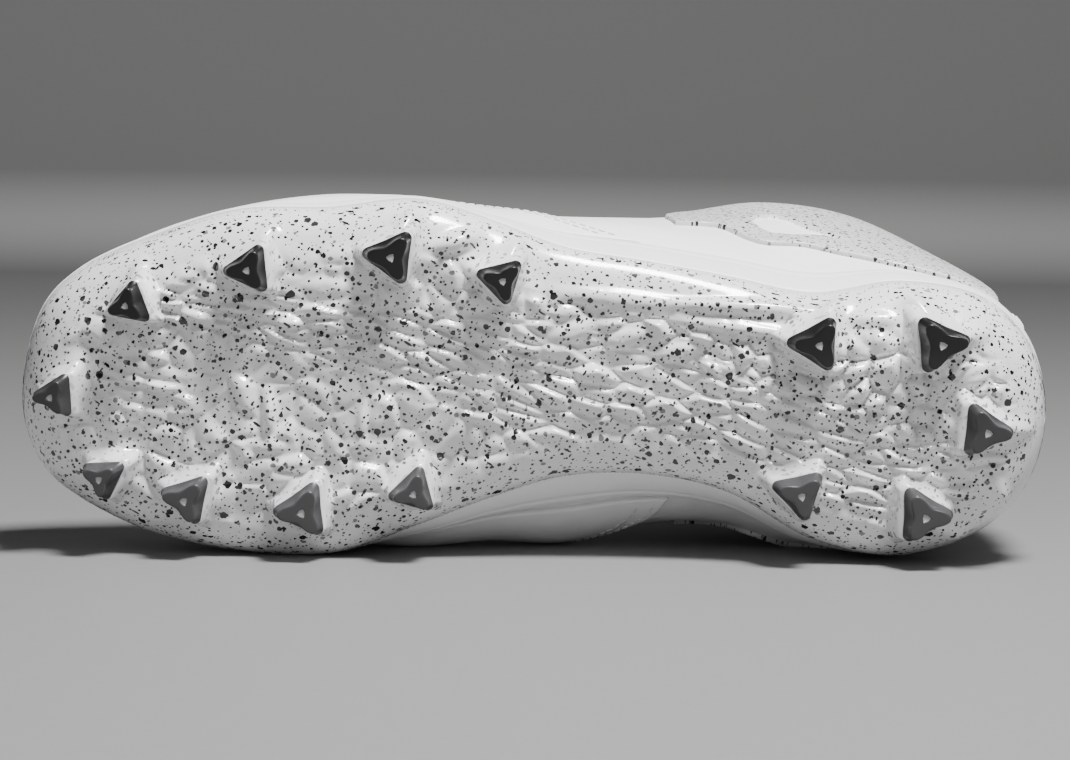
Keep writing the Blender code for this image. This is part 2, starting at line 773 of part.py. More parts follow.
# Lower and upper line of an ankle wing, and of the window through it, at sections from the toe
Line = namedtuple("Line", "section low high")
WING = (
    Line(9.5, 0.385, 0.50),
    Line(10.0, 0.400, 0.66),
    Line(10.5, 0.310, 0.80),
    Line(11.0, 0.318, 0.88),
    Line(11.5, 0.290, 0.91),
    Line(12.0, 0.260, 0.92),
    Line(12.5, 0.253, 0.92),
    Line(13.0, 0.250, 0.90),
    Line(13.5, 0.250, 0.87),
)
WINDOW = (
    Line(10.54, 0.445, 0.460),
    Line(10.67, 0.398, 0.480),
    Line(10.88, 0.393, 0.497),
    Line(11.16, 0.395, 0.453),
    Line(11.36, 0.392, 0.420),
    Line(11.58, 0.372, 0.378),
)
WING_ROWS = 7


def make_wing(outer, parent):
    """Moulded speckled wing beside the ankle, with its long window cut through."""
    side = "outer" if outer else "inner"
    grids = []
    for table, rows in ((WING, WING_ROWS), (WINDOW, 2)):
        section, low, high = np.array(table).T
        grids.append(band(RING - section if outer else section, low, high, rows))
    wing = overlay(f"wing_{side}", "panel", parent, *grids[0])
    combine(wing, "DIFFERENCE", [slab(*grids[1], "panel", parent)])


COUNTER_START = 14.0
COUNTER_RISE = 0.44
COUNTER_CROWN = 0.08


def make_counter(parent):
    """Moulded counter round the back of the heel."""
    places = np.arange(COUNTER_START * PER_SECTION, (RING - COUNTER_START) * PER_SECTION + 1)
    places = places / PER_SECTION
    crown = COUNTER_CROWN * smoothstep(section_of(places), COUNTER_START, SECTIONS)
    high = COUNTER_RISE + crown
    low = 0 * high + OVERLAY_START
    overlay("heel_counter", "leather", parent, *band(places, low, high, 4))


def throat_section(number):
    """Section at which a pair of eyelets stands, counted from the toe."""
    first, last = THROAT_START + 1.1, COLLAR_FRONT - 0.3
    return first + (last - first) * number / (EYELETS - 1)


def tree_of(name):
    """Search tree over the faces of one finished part."""
    mesh = bpy.data.objects[name].data
    mesh.calc_loop_triangles()
    corners = [vertex.co for vertex in mesh.vertices]
    return BVHTree.FromPolygons(corners, [tri.vertices for tri in mesh.loop_triangles])


def eyelet_frame(number, outer):
    """Ring place of an eyelet, its point on the upper, and its axes: out, along and across."""
    section = throat_section(number)
    place = RING - section if outer else section
    point, normal = upper_surface(place, EYELET_RISE), upper_normal(place, EYELET_RISE)
    along = upper_surface(place + 0.01, EYELET_RISE) - point
    along -= normal * along.dot(normal)
    along /= np.linalg.norm(along)
    return place, point, normal, along, np.cross(normal, along)


def eyelet_ring(frame, radius):
    """Points round an eyelet, on the plane that touches the upper there."""
    _, point, _, along, across = frame
    angles = np.linspace(0, 2 * pi, EYELET_SIDES, endpoint=False)[:, None]
    return point + (np.cos(angles) * along + np.sin(angles) * across) * radius


def eyelet_seat(number, outer):
    """Where a lace lies over an eyelet: a point just clear of the eyestay, its axis and place."""
    frame = eyelet_frame(number, outer)
    place, point, normal = frame[:3]
    tree = tree_of("eyestay_outer" if outer else "eyestay_inner")
    heights = [0.0]
    for corner in eyelet_ring(frame, LACE_WIDTH / 2):
        hit = tree.ray_cast(Vector(corner + normal * SLAB_REACH), Vector(-normal))
        if hit[0] is not None:
            heights.append(SLAB_REACH - hit[3])
    return point + normal * max(heights), normal, place


def punch_eyelets(name, outer, kind, parent):
    """Cuts the eyelets of one side through a piece."""
    punches = []
    for number in range(EYELETS):
        frame = eyelet_frame(number, outer)
        ring, normal = eyelet_ring(frame, EYELET_RADIUS), frame[2]
        rings = [ring - normal * 2 * SLAB_REACH, ring + normal * 2 * SLAB_REACH]
        punches.append(stack_solid("punch", rings, kind, parent))
    combine(bpy.data.objects[name], "DIFFERENCE", punches)


def throat_strip(sections, rises, clearance, crown):
    """Rows across the throat: under one edge, over the middle and under the other."""
    rises = np.array(rises)
    rows = []
    for section in sections:
        left, right = (
            upper_offset(place + 0 * rises, rises, -wall_at(place, rises) - clearance)
            for place in (section, RING - section)
        )
        lift = np.cross(right[-1] - left[-1], upward_run(section))
        lift *= crown / np.linalg.norm(lift)
        span = right[-1] - left[-1]
        bridge = [left[-1] + span * s + lift * 4 * s * (1 - s) for s in (0.25, 0.5, 0.75)]
        rows.append(np.concatenate([left, bridge, right[::-1]]))
    return np.array(rows)


def upward_run(section):
    """Direction of the throat's middle line towards the toe at a section."""
    ends = []
    for place in (section - 0.2, section + 0.2):
        left = upper_surface(place, 1.0)
        right = upper_surface(RING - place, 1.0)
        ends.append((left + right) / 2)
    return ends[0] - ends[1]


def make_tongue(parent):
    """Padded tongue under the throat, standing up past the collar."""
    steps = int((COLLAR_FRONT - THROAT_START) * PER_SECTION)
    sections = THROAT_START + np.arange(1, steps) / PER_SECTION
    top = throat_strip(sections, TONGUE_RISES, TONGUE_CLEARANCE, TONGUE_CROWN)
    run = (top[-1] - top[-3]).mean(0)
    run /= np.linalg.norm(run)
    lean = np.array([TONGUE_LEAN, 0, 0])
    more = [top[-1] + (run + lean * s) * TONGUE_RISE * s for s in (0.35, 0.7, 1.0)]
    top = np.concatenate([top, more])
    middle = top.mean(1, keepdims=True)
    narrow = np.ones(len(top))
    narrow[-3:] = (0.97, 0.93, 0.84)
    top = middle + (top - middle) * narrow[:, None, None]
    down = np.cross(np.gradient(top, axis=0), np.gradient(top, axis=1))
    down /= np.linalg.norm(down, axis=-1, keepdims=True)
    down *= np.where(down[..., 2:] < 0, 1, -1)
    thin = np.sin(np.linspace(0.10 * pi, 0.90 * pi, top.shape[1])) ** 0.6
    under = top + down * TONGUE_THICKNESS * thin[None, :, None]
    folded_solid("tongue", top, under, "lining", parent)


def ribbon(name, line, normals, parent):
    """A flat lace along a line, standing on its normals."""
    run = np.gradient(line, axis=0)
    across = np.cross(run, normals)
    across /= np.linalg.norm(across, axis=1, keepdims=True)
    shape = ((1, 0.5), (-1, 0.5), (-1, -0.5), (1, -0.5))
    rings = [
        np.array([p + a * u * LACE_WIDTH / 2 + n * v * LACE_THICKNESS for u, v in shape])
        for p, a, n in zip(line, across, normals)
    ]
    return stack_solid(name, rings, "lace", parent, smooth=False)


def lace_span(name, start, end, lift, parent):
    """One crossing from eyelet to eyelet: over both edges of the throat and the tongue."""
    stand = LACE_CLEARANCE + LACE_THICKNESS / 2 + lift
    line, normals = [], []
    for (seat, normal, place), (_, _, other) in ((start, end), (end, start)):
        shift = (RING - other - place) * LACE_EDGE_SHARE
        edge_place, rise = place + shift, LACE_EDGE_RISE
        edge_normal = upper_normal(edge_place, rise)
        over = upper_surface(edge_place, rise) + edge_normal * (OVERLAY_LIFT + OVERLAY + stand)
        outwards = seat - over
        outwards /= np.linalg.norm(outwards)
        line.append([seat + normal * stand + outwards * LACE_END, over])
        normals.append([normal, edge_normal])
    (first, near), (last, far) = line
    (a, b), (d, c) = normals
    up = b + c
    up /= np.linalg.norm(up)
    middle = (near + far) / 2 + up * LACE_CROWN
    path = np.array([first, near, middle, far, last])
    return ribbon(name, path, np.array([a, b, up, c, d]), parent)


def make_laces(seats, parent):
    """A bar and pairs of crossings from eyelet to eyelet, joined into one piece."""
    spans = [lace_span("laces", seats[True][0], seats[False][0], 0, parent)]
    for number in range(EYELETS - 1):
        for outer in (True, False):
            lift = LACE_LIFT * (1 if outer else 2)
            ends = seats[outer][number], seats[not outer][number + 1]
            spans.append(lace_span("crossing", *ends, lift, parent))
    combine(spans[0], "UNION", spans[1:])


def world_points(made):
    """Vertices of a part as an array."""
    flat = np.empty(len(made.data.vertices) * 3)
    made.data.vertices.foreach_get("co", flat)
    return flat.reshape(-1, 3)


def centre_of_mass(parts):
    """Centre of mass of all parts together, from their volumes and densities."""
    weight, moment = 0.0, np.zeros(3)
    for made in parts:
        made.data.calc_loop_triangles()
        corners = world_points(made)
        faces = np.array([t.vertices for t in made.data.loop_triangles])
        a, b, c = (corners[faces[:, i]] for i in range(3))
        volumes = np.einsum("ij,ij->i", a, np.cross(b, c)) / 6 * DENSITIES[made.name]
        weight += volumes.sum()
        moment += (volumes[:, None] * (a + b + c) / 4).sum(0)
    return moment / weight


def resting_facet(parts):
    """Outward normal of the facet that the shoe rolls onto when laid on its inner side."""
    work = bmesh.new()
    for made in parts:
        for point in world_points(made):
            work.verts.new(point)
    bmesh.ops.convex_hull(work, input=work.verts)
    bmesh.ops.recalc_face_normals(work, faces=work.faces)
    hull = BVHTree.FromBMesh(work)
    weight = Vector(centre_of_mass(parts))
    down = Vector((0, -1, 0))
    for _ in range(20):
        _, normal, _, _ = hull.ray_cast(weight, down)
        if normal.dot(down) < 0:
            normal = -normal
        if normal.angle(down) < 1e-4:
            break
        down = normal.copy()
    work.free()
    return down


def lay_down(empty, parts):
    """Turns the shoe so that it rests on its inner side, centred over the origin."""
    floor = resting_facet(parts)
    up = -floor
    toe = Vector((1, 0, 0))
    ahead = (toe - up * toe.dot(up)).normalized()
    right = -ahead
    back = up.cross(right)
    turn = Matrix((right, back, up))
    points = np.concatenate([world_points(made) for made in parts])
    turned = points @ np.array(turn).T
    low, high = turned.min(0), turned.max(0)
    middle = (low + high) / 2
    empty.matrix_world = Matrix.Translation((-middle[0], -middle[1], -low[2])) @ turn.to_4x4()


def clear_scene():
    """Removes what the startup file brings."""
    for old in list(bpy.data.objects):
        bpy.data.objects.remove(old)


def main():
    """Builds every part and lays the shoe down."""
    clear_scene()
    collection = bpy.data.collections.new("basketball_shoe")
    bpy.context.scene.collection.children.link(collection)
    empty = bpy.data.objects.new("shoe", None)
    collection.objects.link(empty)
    make_plate(empty)
    for stud in STUDS:
        make_cap(stud, empty)
    make_midsole(empty)
    make_insole(empty)
    make_upper(empty)
    make_toe_guard(empty)
    make_counter(empty)
    seats = {}
    for outer in (True, False):
        make_eyestay(outer, empty)
        make_wing(outer, empty)
        seats[outer] = [eyelet_seat(number, outer) for number in range(EYELETS)]
        punch_eyelets("eyestay_outer" if outer else "eyestay_inner", outer, "leather", empty)
        punch_eyelets("upper", outer, "leather", empty)
    make_tongue(empty)
    make_laces(seats, empty)
    parts = [made for made in collection.objects if made.type == "MESH"]
    lay_down(empty, parts)
    bpy.context.view_layer.update()


main()
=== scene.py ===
"""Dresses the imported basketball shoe, which lies on its inner side with its sole in view.

Every surface is worked out on the upright last, heel at the origin and toe ahead, and is then
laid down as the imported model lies. Lengths are in metres unless a name ends in _mm.
"""

import logging
import math
from collections.abc import Iterable, Sequence
from dataclasses import dataclass
from enum import Enum, IntEnum
from typing import NamedTuple

import bmesh
import bpy
import numpy as np
from mathutils import Matrix, Vector


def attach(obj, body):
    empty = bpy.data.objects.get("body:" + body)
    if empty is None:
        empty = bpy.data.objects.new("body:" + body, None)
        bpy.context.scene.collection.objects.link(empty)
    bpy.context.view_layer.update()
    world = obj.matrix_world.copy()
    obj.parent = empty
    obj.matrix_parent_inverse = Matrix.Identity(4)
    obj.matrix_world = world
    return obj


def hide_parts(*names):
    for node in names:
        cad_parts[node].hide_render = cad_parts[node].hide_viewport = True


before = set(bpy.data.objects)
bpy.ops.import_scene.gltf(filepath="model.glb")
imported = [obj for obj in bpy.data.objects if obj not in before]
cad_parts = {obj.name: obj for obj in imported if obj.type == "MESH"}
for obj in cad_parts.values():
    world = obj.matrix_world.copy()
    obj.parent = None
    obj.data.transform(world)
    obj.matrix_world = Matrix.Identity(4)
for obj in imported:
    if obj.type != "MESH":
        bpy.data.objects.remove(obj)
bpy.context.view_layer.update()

LOG = logging.getLogger("shoe")
MM = 0.001
MM_PER_METRE = 1000
BODY = "root"
FLOOR_CLEARANCE = 0.00005
NOISE_TABLE = 64

Array = np.ndarray
Frame = tuple[Array, Array, Array, Array]
Material = bpy.types.Material
Mesh = bpy.types.Mesh
Pair = tuple[Array, Array]
Piece = bpy.types.Object
Socket = bpy.types.NodeSocket
Triple = tuple[float, float, float]


class Slot(Enum):
    """The material slots."""

    PLATE = "speckled_plate"
    PANEL = "speckled_panel"
    CAP = "cap"
    FOAM = "foam"
    LEATHER = "leather"
    LINING = "lining"
    LACE = "lace"


class Edge(NamedTuple):
    """One section of the plate's edge, as shares of length, breadth and rim height."""

    along: float
    outer: float
    inner: float
    up: float


class Side(NamedTuple):
    """Girth and shoulder of the last at one section, as shares of breadth and height."""

    girth_out: float
    girth_in: float
    girth_up: float
    shoulder_out: float
    shoulder_in: float
    shoulder_up: float


class Top(NamedTuple):
    """Top line at one section: vamp ridge, throat edges, then collar."""

    along: float
    middle: float
    half: float
    up: float


class Stud(NamedTuple):
    """A stud: its place, the turn of its leading corner and its tip's corner radius."""

    name: str
    along: float
    across: float
    turn: float
    size: float


EDGES = (
    Edge(1.000, -0.029, -0.029, 1.33),
    Edge(0.982, 0.208, -0.214, 1.31),
    Edge(0.941, 0.341, -0.316, 1.26),
    Edge(0.870, 0.439, -0.407, 1.14),
    Edge(0.785, 0.520, -0.450, 0.98),
    Edge(0.695, 0.531, -0.450, 0.86),
    Edge(0.611, 0.552, -0.371, 0.93),
    Edge(0.536, 0.499, -0.296, 0.94),
    Edge(0.467, 0.448, -0.252, 0.94),
    Edge(0.387, 0.441, -0.269, 0.94),
    Edge(0.308, 0.420, -0.355, 0.94),
    Edge(0.228, 0.371, -0.532, 0.96),
    Edge(0.144, 0.411, -0.598, 1.00),
    Edge(0.065, 0.353, -0.513, 1.04),
    Edge(0.017, 0.182, -0.337, 1.06),
    Edge(0.000, -0.074, -0.074, 1.06),
)
SIDES = (
    Side(-0.029, -0.029, 0.450, -0.024, -0.024, 0.550),
    Side(0.188, -0.210, 0.450, 0.130, -0.152, 0.565),
    Side(0.314, -0.314, 0.445, 0.238, -0.248, 0.590),
    Side(0.418, -0.405, 0.435, 0.335, -0.329, 0.620),
    Side(0.490, -0.438, 0.420, 0.400, -0.371, 0.660),
    Side(0.521, -0.446, 0.420, 0.425, -0.392, 0.710),
    Side(0.517, -0.470, 0.440, 0.412, -0.405, 0.770),
    Side(0.489, -0.468, 0.470, 0.394, -0.408, 0.830),
    Side(0.492, -0.508, 0.459, 0.398, -0.430, 0.817),
    Side(0.510, -0.508, 0.401, 0.438, -0.460, 0.741),
    Side(0.510, -0.548, 0.383, 0.484, -0.535, 0.738),
    Side(0.480, -0.640, 0.390, 0.525, -0.612, 0.759),
    Side(0.440, -0.622, 0.390, 0.470, -0.592, 0.759),
    Side(0.345, -0.498, 0.390, 0.306, -0.435, 0.766),
    Side(0.190, -0.325, 0.383, 0.166, -0.282, 0.766),
    Side(-0.074, -0.074, 0.383, -0.061, -0.061, 0.766),
)
TOPS = (
    Top(0.946, -0.019, 0.000, 0.600),
    Top(0.930, -0.014, 0.000, 0.618),
    Top(0.899, -0.010, 0.000, 0.648),
    Top(0.849, 0.000, 0.000, 0.690),
    Top(0.790, 0.019, 0.000, 0.740),
    Top(0.730, 0.029, 0.000, 0.810),
    Top(0.661, 0.029, 0.143, 0.900),
    Top(0.593, 0.029, 0.165, 1.000),
    Top(0.526, 0.020, 0.184, 1.028),
    Top(0.459, 0.000, 0.223, 0.957),
    Top(0.392, -0.024, 0.300, 0.965),
    Top(0.303, -0.043, 0.442, 0.929),
    Top(0.204, -0.055, 0.466, 0.901),
    Top(0.104, -0.061, 0.331, 0.943),
    Top(0.045, -0.061, 0.160, 0.986),
    Top(0.022, -0.061, 0.000, 1.000),
)
STUDS = (
    Stud("toe", 0.957, 0.020, -3, 0.0054),
    Stud("outer_1", 0.884, 0.283, -20, 0.0054),
    Stud("outer_2", 0.770, 0.386, -5, 0.0061),
    Stud("outer_3", 0.635, 0.422, 7, 0.0069),
    Stud("outer_4", 0.532, 0.361, 17, 0.0058),
    Stud("inner_1", 0.912, -0.207, 26, 0.0053),
    Stud("inner_2", 0.832, -0.262, 12, 0.0065),
    Stud("inner_3", 0.722, -0.293, -5, 0.0072),
    Stud("inner_4", 0.616, -0.240, -14, 0.0059),
    Stud("heel_outer_1", 0.226, 0.229, 2, 0.0071),
    Stud("heel_outer_2", 0.109, 0.229, 174, 0.0075),
    Stud("heel_back", 0.064, -0.087, 185, 0.0070),
    Stud("heel_inner_1", 0.240, -0.317, 17, 0.0067),
    Stud("heel_inner_2", 0.122, -0.396, 181, 0.0074),
)

SECTIONS = len(EDGES) - 1
RING = 2 * SECTIONS


def smoothstep(value: Array | float, low: float, high: float) -> Array:
    """Turns smoothly from 0 below low to 1 above high.

    Args:
        value: Values to grade.
        low: Where the turn begins.
        high: Where it ends.

    Returns:
        Shares from 0 to 1.
    """
    share = np.clip((np.asarray(value, float) - low) / (high - low), 0.0, 1.0)
    return share * share * (3 - 2 * share)


def unit(vectors: Array) -> Array:
    """Scales vectors to length one, leaving null ones alone."""
    length = np.linalg.norm(vectors, axis=-1, keepdims=True)
    return vectors / np.where(length > 1e-12, length, 1.0)


def spline_mix(net: Sequence[Array], part: Array) -> Array:
    """Finds the Catmull-Rom point between the two middle ones of four.

    Args:
        net: Four control points.
        part: Share of the way from the second to the third.

    Returns:
        The points on the curve.
    """
    a, b, c, d = net
    linear, square = (c - a) * part, (2 * a - 5 * b + 4 * c - d) * part**2
    return 0.5 * (2 * b + linear + square + (3 * b - a - 3 * c + d) * part**3)


def closed_spline(points: Array, place: Array) -> Array:
    """Reads a closed Catmull-Rom curve.

    Args:
        points: Control points, joined end to end.
        place: Places counted in control points.

    Returns:
        One point for each place.
    """
    first = np.floor(place).astype(int)
    part = (place - first)[(...,) + (None,) * (points.ndim - 1)]
    net = [points[(first + step) % len(points)] for step in (-1, 0, 1, 2)]
    return spline_mix(net, part)


def open_spline(points: Array, count: int) -> Array:
    """Samples an open Catmull-Rom curve along its first axis.

    Args:
        points: Control points or rows of them.
        count: Number of samples.

    Returns:
        The samples.
    """
    padded = np.concatenate([2 * points[:1] - points[1:2], points, 2 * points[-1:] - points[-2:-1]])
    place = np.linspace(0, len(points) - 1, count)
    first = np.minimum(place.astype(int), len(points) - 2)
    part = (place - first)[(...,) + (None,) * (points.ndim - 1)]
    return spline_mix([padded[first + step] for step in range(4)], part)


@dataclass(frozen=True)
class Last:
    """The shape that the shoe is built on, and the sizes that its pieces share."""

    length: float = 0.302
    ball_width: float = 0.105
    heel_width: float = 0.0815
    instep_height: float = 0.100
    collar_height: float = 0.141
    rim_height: float = 0.0255
    stud_height: float = 0.0115
    plate_thickness: float = 0.0028
    plate_lip: float = 0.0022
    bowl_width: float = 0.014
    toe_spring: float = 0.009
    spring_start: float = 0.72
    arch_rise: float = 0.004
    foam_heel: float = 0.009
    foam_toe: float = 0.007
    base_inset: float = 0.0060
    base_lift: float = 0.0008
    wall: float = 0.0024
    collar_pad: float = 0.0040
    overlay: float = 0.0010
    overlay_lift: float = 0.00045
    gap: float = 0.0003
    girth_lean: float = 0.10
    shoulder_lean: float = 0.45
    opening_share: float = 0.08
    throat_start: int = 5
    collar_front: int = 10

    def breadth(self, along: Array | float) -> Array:
        """Width that shares across the foot follow."""
        return self.heel_width + (self.ball_width - self.heel_width) * smoothstep(along, 0.25, 0.60)

    def height_unit(self, along: Array | float) -> Array:
        """Height that shares upwards follow."""
        drop = self.instep_height - self.collar_height
        return self.collar_height + drop * smoothstep(along, 0.31, 0.54)

    def ring(self, inner: Sequence, outer: Sequence) -> Array:
        """Joins columns of rows down the inner side from the toe and up the outer side."""
        return np.concatenate([np.stack(inner, -1), np.stack(outer, -1)[-2:0:-1]])

    def edge_ring(self) -> Array:
        """Control points of the plate's edge."""
        along, outer, inner, up = np.array(EDGES).T
        wide, along, up = self.breadth(along), along * self.length, up * self.rim_height
        return self.ring((along, inner * wide, up), (along, outer * wide, up))

    def side_ring(self, name: str, lean: float) -> Array:
        """Control points of the girth or the shoulder.

        Args:
            name: Prefix of the columns to read.
            lean: Share of the way that the line leans towards the top line.

        Returns:
            The closed ring of points.
        """
        start = Side._fields.index(f"{name}_out")
        outer, inner, up = np.array(SIDES).T[start : start + 3]
        edge, top = np.array(EDGES)[:, 0], np.array(TOPS)[:, 0]
        wide, up = self.breadth(edge), up * self.height_unit(edge)
        along = (edge + (top - edge) * lean) * self.length
        return self.ring((along, inner * wide, up), (along, outer * wide, up))

    def top_ring(self) -> Array:
        """Control values of the top line, alike on both sides: along, middle, half and height."""
        edge = np.array(EDGES)[:, 0]
        wide, high = self.breadth(edge), self.height_unit(edge)
        along, middle, half, up = np.array(TOPS).T
        columns = (along * self.length, middle * wide, half * wide, up * high)
        return self.ring(columns, columns)

    def edge(self, place: Array) -> Array:
        """Points on the plate's edge: 0 is the toe, SECTIONS the heel, by the inner side."""
        return closed_spline(self.edge_ring(), np.asarray(place, float))

    def edge_inset(self, place: Array, inset: float) -> Array:
        """Moves the plate's edge in, square to its run in plan.

        Args:
            place: Ring places.
            inset: How far in.

        Returns:
            One point for each place, at the edge's own height.
        """
        step = 0.02
        points = self.edge(place)
        run = self.edge(place + step) - self.edge(place - step)
        run[..., 2] = 0
        run = unit(run)
        points[..., 0] += run[..., 1] * inset
        points[..., 1] -= run[..., 0] * inset
        return points

    def bottom_up(self, x: Array) -> Array:
        """Height of the plate's underside along its middle.

        Args:
            x: Distances from the heel.

        Returns:
            The studs' height, the arch under the midfoot and a toe spring that grows as a square.
        """
        along = np.asarray(x, float) / self.length
        spring = np.clip((along - self.spring_start) / (1 - self.spring_start), 0, None)
        arch = smoothstep(along, 0.22, 0.40) * (1 - smoothstep(along, 0.44, 0.64))
        return self.stud_height + self.toe_spring * spring**2 + self.arch_rise * arch

    def floor_up(self, x: Array) -> Array:
        """Top of the midsole under the foot."""
        thin = (self.foam_toe - self.foam_heel) * smoothstep(x / self.length, 0.25, 0.65)
        return self.bottom_up(x) + self.plate_thickness + self.gap + (self.foam_heel + thin)

    def rim_gap(self, x: Array, y: Array) -> tuple[Array, Array, Array]:
        """Measures how far places in plan are from the plate's edge.

        Args:
            x: Distances from the heel.
            y: Distances across.

        Returns:
            The distance to the edge, the height of the nearest rim and the way to it in plan.
        """
        samples, at_once = 1400, 6000
        outline = self.edge(np.linspace(0, RING, samples, endpoint=False)).astype(np.float32)
        flat = np.stack([np.ravel(x), np.ravel(y)], -1).astype(np.float32)
        gaps, nearest = [], []
        for block in np.array_split(flat, max(1, len(flat) // at_once)):
            square = (block[:, :1] - outline[:, 0]) ** 2 + (block[:, 1:] - outline[:, 1]) ** 2
            near = square.argmin(1)
            gaps.append(np.sqrt(square[np.arange(len(block)), near]))
            nearest.append(near)
        gap, near, shape = np.concatenate(gaps), np.concatenate(nearest), np.shape(x)
        away = (outline[near, :2] - flat) / np.maximum(gap, 1e-5)[:, None]
        return gap.reshape(shape), outline[near, 2].reshape(shape), away.reshape(*shape, 2)

    def stud_plan(self, stud: Stud) -> Array:
        """Place of a stud in plan."""
        return np.array([stud.along * self.length, stud.across * float(self.breadth(stud.along))])

    @property
    def panel_top(self) -> float:
        """How far the outside of a sewn panel stands off the upper."""
        return self.overlay_lift + self.overlay

    def section_of(self, place: Array) -> Array:
        """Section number from the toe, on either side."""
        place = np.asarray(place, float) % RING
        return np.minimum(place, RING - place)

    def top_line(self, place: Array) -> Pair:
        """Reads the upper's top edge.

        Args:
            place: Ring places.

        Returns:
            Points, and how open the top is there: 0 on the vamp, 1 at throat and collar.
        """
        row = closed_spline(self.top_ring(), place)
        section = self.section_of(place)
        half = np.where(section <= self.throat_start, 0, np.clip(row[..., 2], 0, None))
        side = np.where(place % RING > SECTIONS, 1.0, -1.0)
        points = np.stack([row[..., 0], row[..., 1] + side * half, row[..., 3]], -1)
        open_share = np.clip(half / (self.opening_share * self.ball_width), 0, 1)
        open_share = np.where(section > self.collar_front, 1, open_share)
        return points, open_share[..., None]

    def surface(self, place: Array, rise: Array) -> Array:
        """Finds the upper's outside: a spline up from the sole by girth and shoulder to the top.

        Args:
            place: Ring places.
            rise: Heights from 0 at the sole to 1 at the top line.

        Returns:
            One point for each pair.
        """
        place, rise = np.broadcast_arrays(np.asarray(place, float), np.asarray(rise, float))
        girths = self.side_ring("girth", self.girth_lean)
        shoulders = self.side_ring("shoulder", self.shoulder_lean)
        base = self.edge_inset(place, self.base_inset)
        base[..., 2] = self.floor_up(base[..., 0]) + self.base_lift
        girth, shoulder = closed_spline(girths, place), closed_spline(shoulders, place)
        top, open_share = self.top_line(place)
        across = closed_spline(shoulders, RING - place)
        beyond = across + (2 * top - shoulder - across) * open_share
        section = self.section_of(place)
        ridge = closed_spline(self.top_ring(), section + 2)[..., [0, 1, 3]]
        beyond = beyond + (ridge - beyond) * (1 - smoothstep(section, 0, 1.2)[..., None])
        below = 2 * base - girth
        below[..., :2] = base[..., :2]
        net = [below, base, girth, shoulder, top, beyond]
        scaled = np.clip(rise, 0, 1) * 3
        span = np.minimum(scaled.astype(int), 2)
        part = (scaled - span)[..., None]
        choices = [spline_mix(net[index : index + 4], part) for index in range(3)]
        return np.select([span[..., None] == index for index in range(3)], choices)

    def normal(self, place: Array, rise: Array) -> Array:
        """Directions straight out of the upper, alike where its two sides meet on the vamp.

        Args:
            place: Ring places.
            rise: Heights from 0 to 1.

        Returns:
            Unit vectors.
        """
        step = 0.01
        place, rise = np.broadcast_arrays(np.asarray(place, float), np.asarray(rise, float))
        low, high = np.clip(rise - step, 0, 1), np.clip(rise + step, 0, 1)

        def one_side(at: Array) -> Array:
            """Cross product of the ring's run and the way up."""
            run = self.surface(at + step, rise) - self.surface(at - step, rise)
            return unit(np.cross(self.surface(at, high) - self.surface(at, low), run))

        here, there = one_side(place), one_side(RING - place)
        shared = (self.section_of(place) <= self.throat_start) & (rise >= 1 - 1e-9)
        return np.where(shared[..., None], unit(here + there), here)

    def offset(self, place: Array, rise: Array, out: Array | float) -> Array:
        """The upper's outside moved out by out, or in where it is negative."""
        out = np.asarray(out, float)[..., None]
        return self.surface(place, rise) + self.normal(place, rise) * out

    def wall_at(self, place: Array, rise: Array) -> Array:
        """Thickness of the upper's wall, padded at the collar."""
        behind = smoothstep(self.section_of(place), self.collar_front - 0.5, self.collar_front + 1)
        return self.wall + self.collar_pad * behind * smoothstep(rise, 0.55, 0.85)


@dataclass(frozen=True)
class Lay:
    """How the upright shoe is turned and moved to lie on the floor."""

    roll_deg: float = 6.0006
    dip_deg: float = 0.7764
    offset: Triple = (0.15059, -0.07077, 0.04840)

    def turn(self) -> Array:
        """Rows that turn the last's axes to the floor's: the toe looks along -X."""
        roll, dip = math.radians(self.roll_deg), math.radians(self.dip_deg)
        level = math.cos(dip)
        up = np.array([-math.sin(dip), level * math.cos(roll), level * math.sin(roll)])
        ahead = unit(np.array([1.0, 0.0, 0.0]) - up * up[0])
        return np.array([-ahead, np.cross(up, -ahead), up])

    def points(self, points: Array) -> Array:
        """Lays points of the last down."""
        return points @ self.turn().T + np.array(self.offset)

    def directions(self, vectors: Array) -> Array:
        """Lays directions of the last down."""
        return vectors @ self.turn().T


LAST = Last()
LAY = Lay()
MATERIALS: dict[str, Material] = {}


def once_round(count: int) -> Array:
    """Evenly spread angles of a circle."""
    return np.linspace(0, 2 * math.pi, count, endpoint=False)


def ring_places(count: int) -> Array:
    """Evenly spread places once round the last."""
    return np.arange(count) * RING / count


def travelled_along(line: Array) -> Array:
    """Distance run from the first point of a line to each of its points."""
    return np.concatenate([[0], np.cumsum(np.linalg.norm(np.diff(line, axis=0), axis=1))])


def grid_faces(rows: int, columns: int, closed: bool = False) -> Array:
    """Lists the quads of a grid of points.

    Args:
        rows: Number of rows.
        columns: Number of points in a row.
        closed: Whether the last column joins the first.

    Returns:
        Four point numbers for each quad.
    """
    count = columns if closed else columns - 1
    row, column = np.meshgrid(np.arange(rows - 1) * columns, np.arange(count), indexing="ij")
    after = (column + 1) % columns
    quads = np.stack([row + column, row + after, row + columns + after, row + columns + column], -1)
    return quads.reshape(-1, 4)


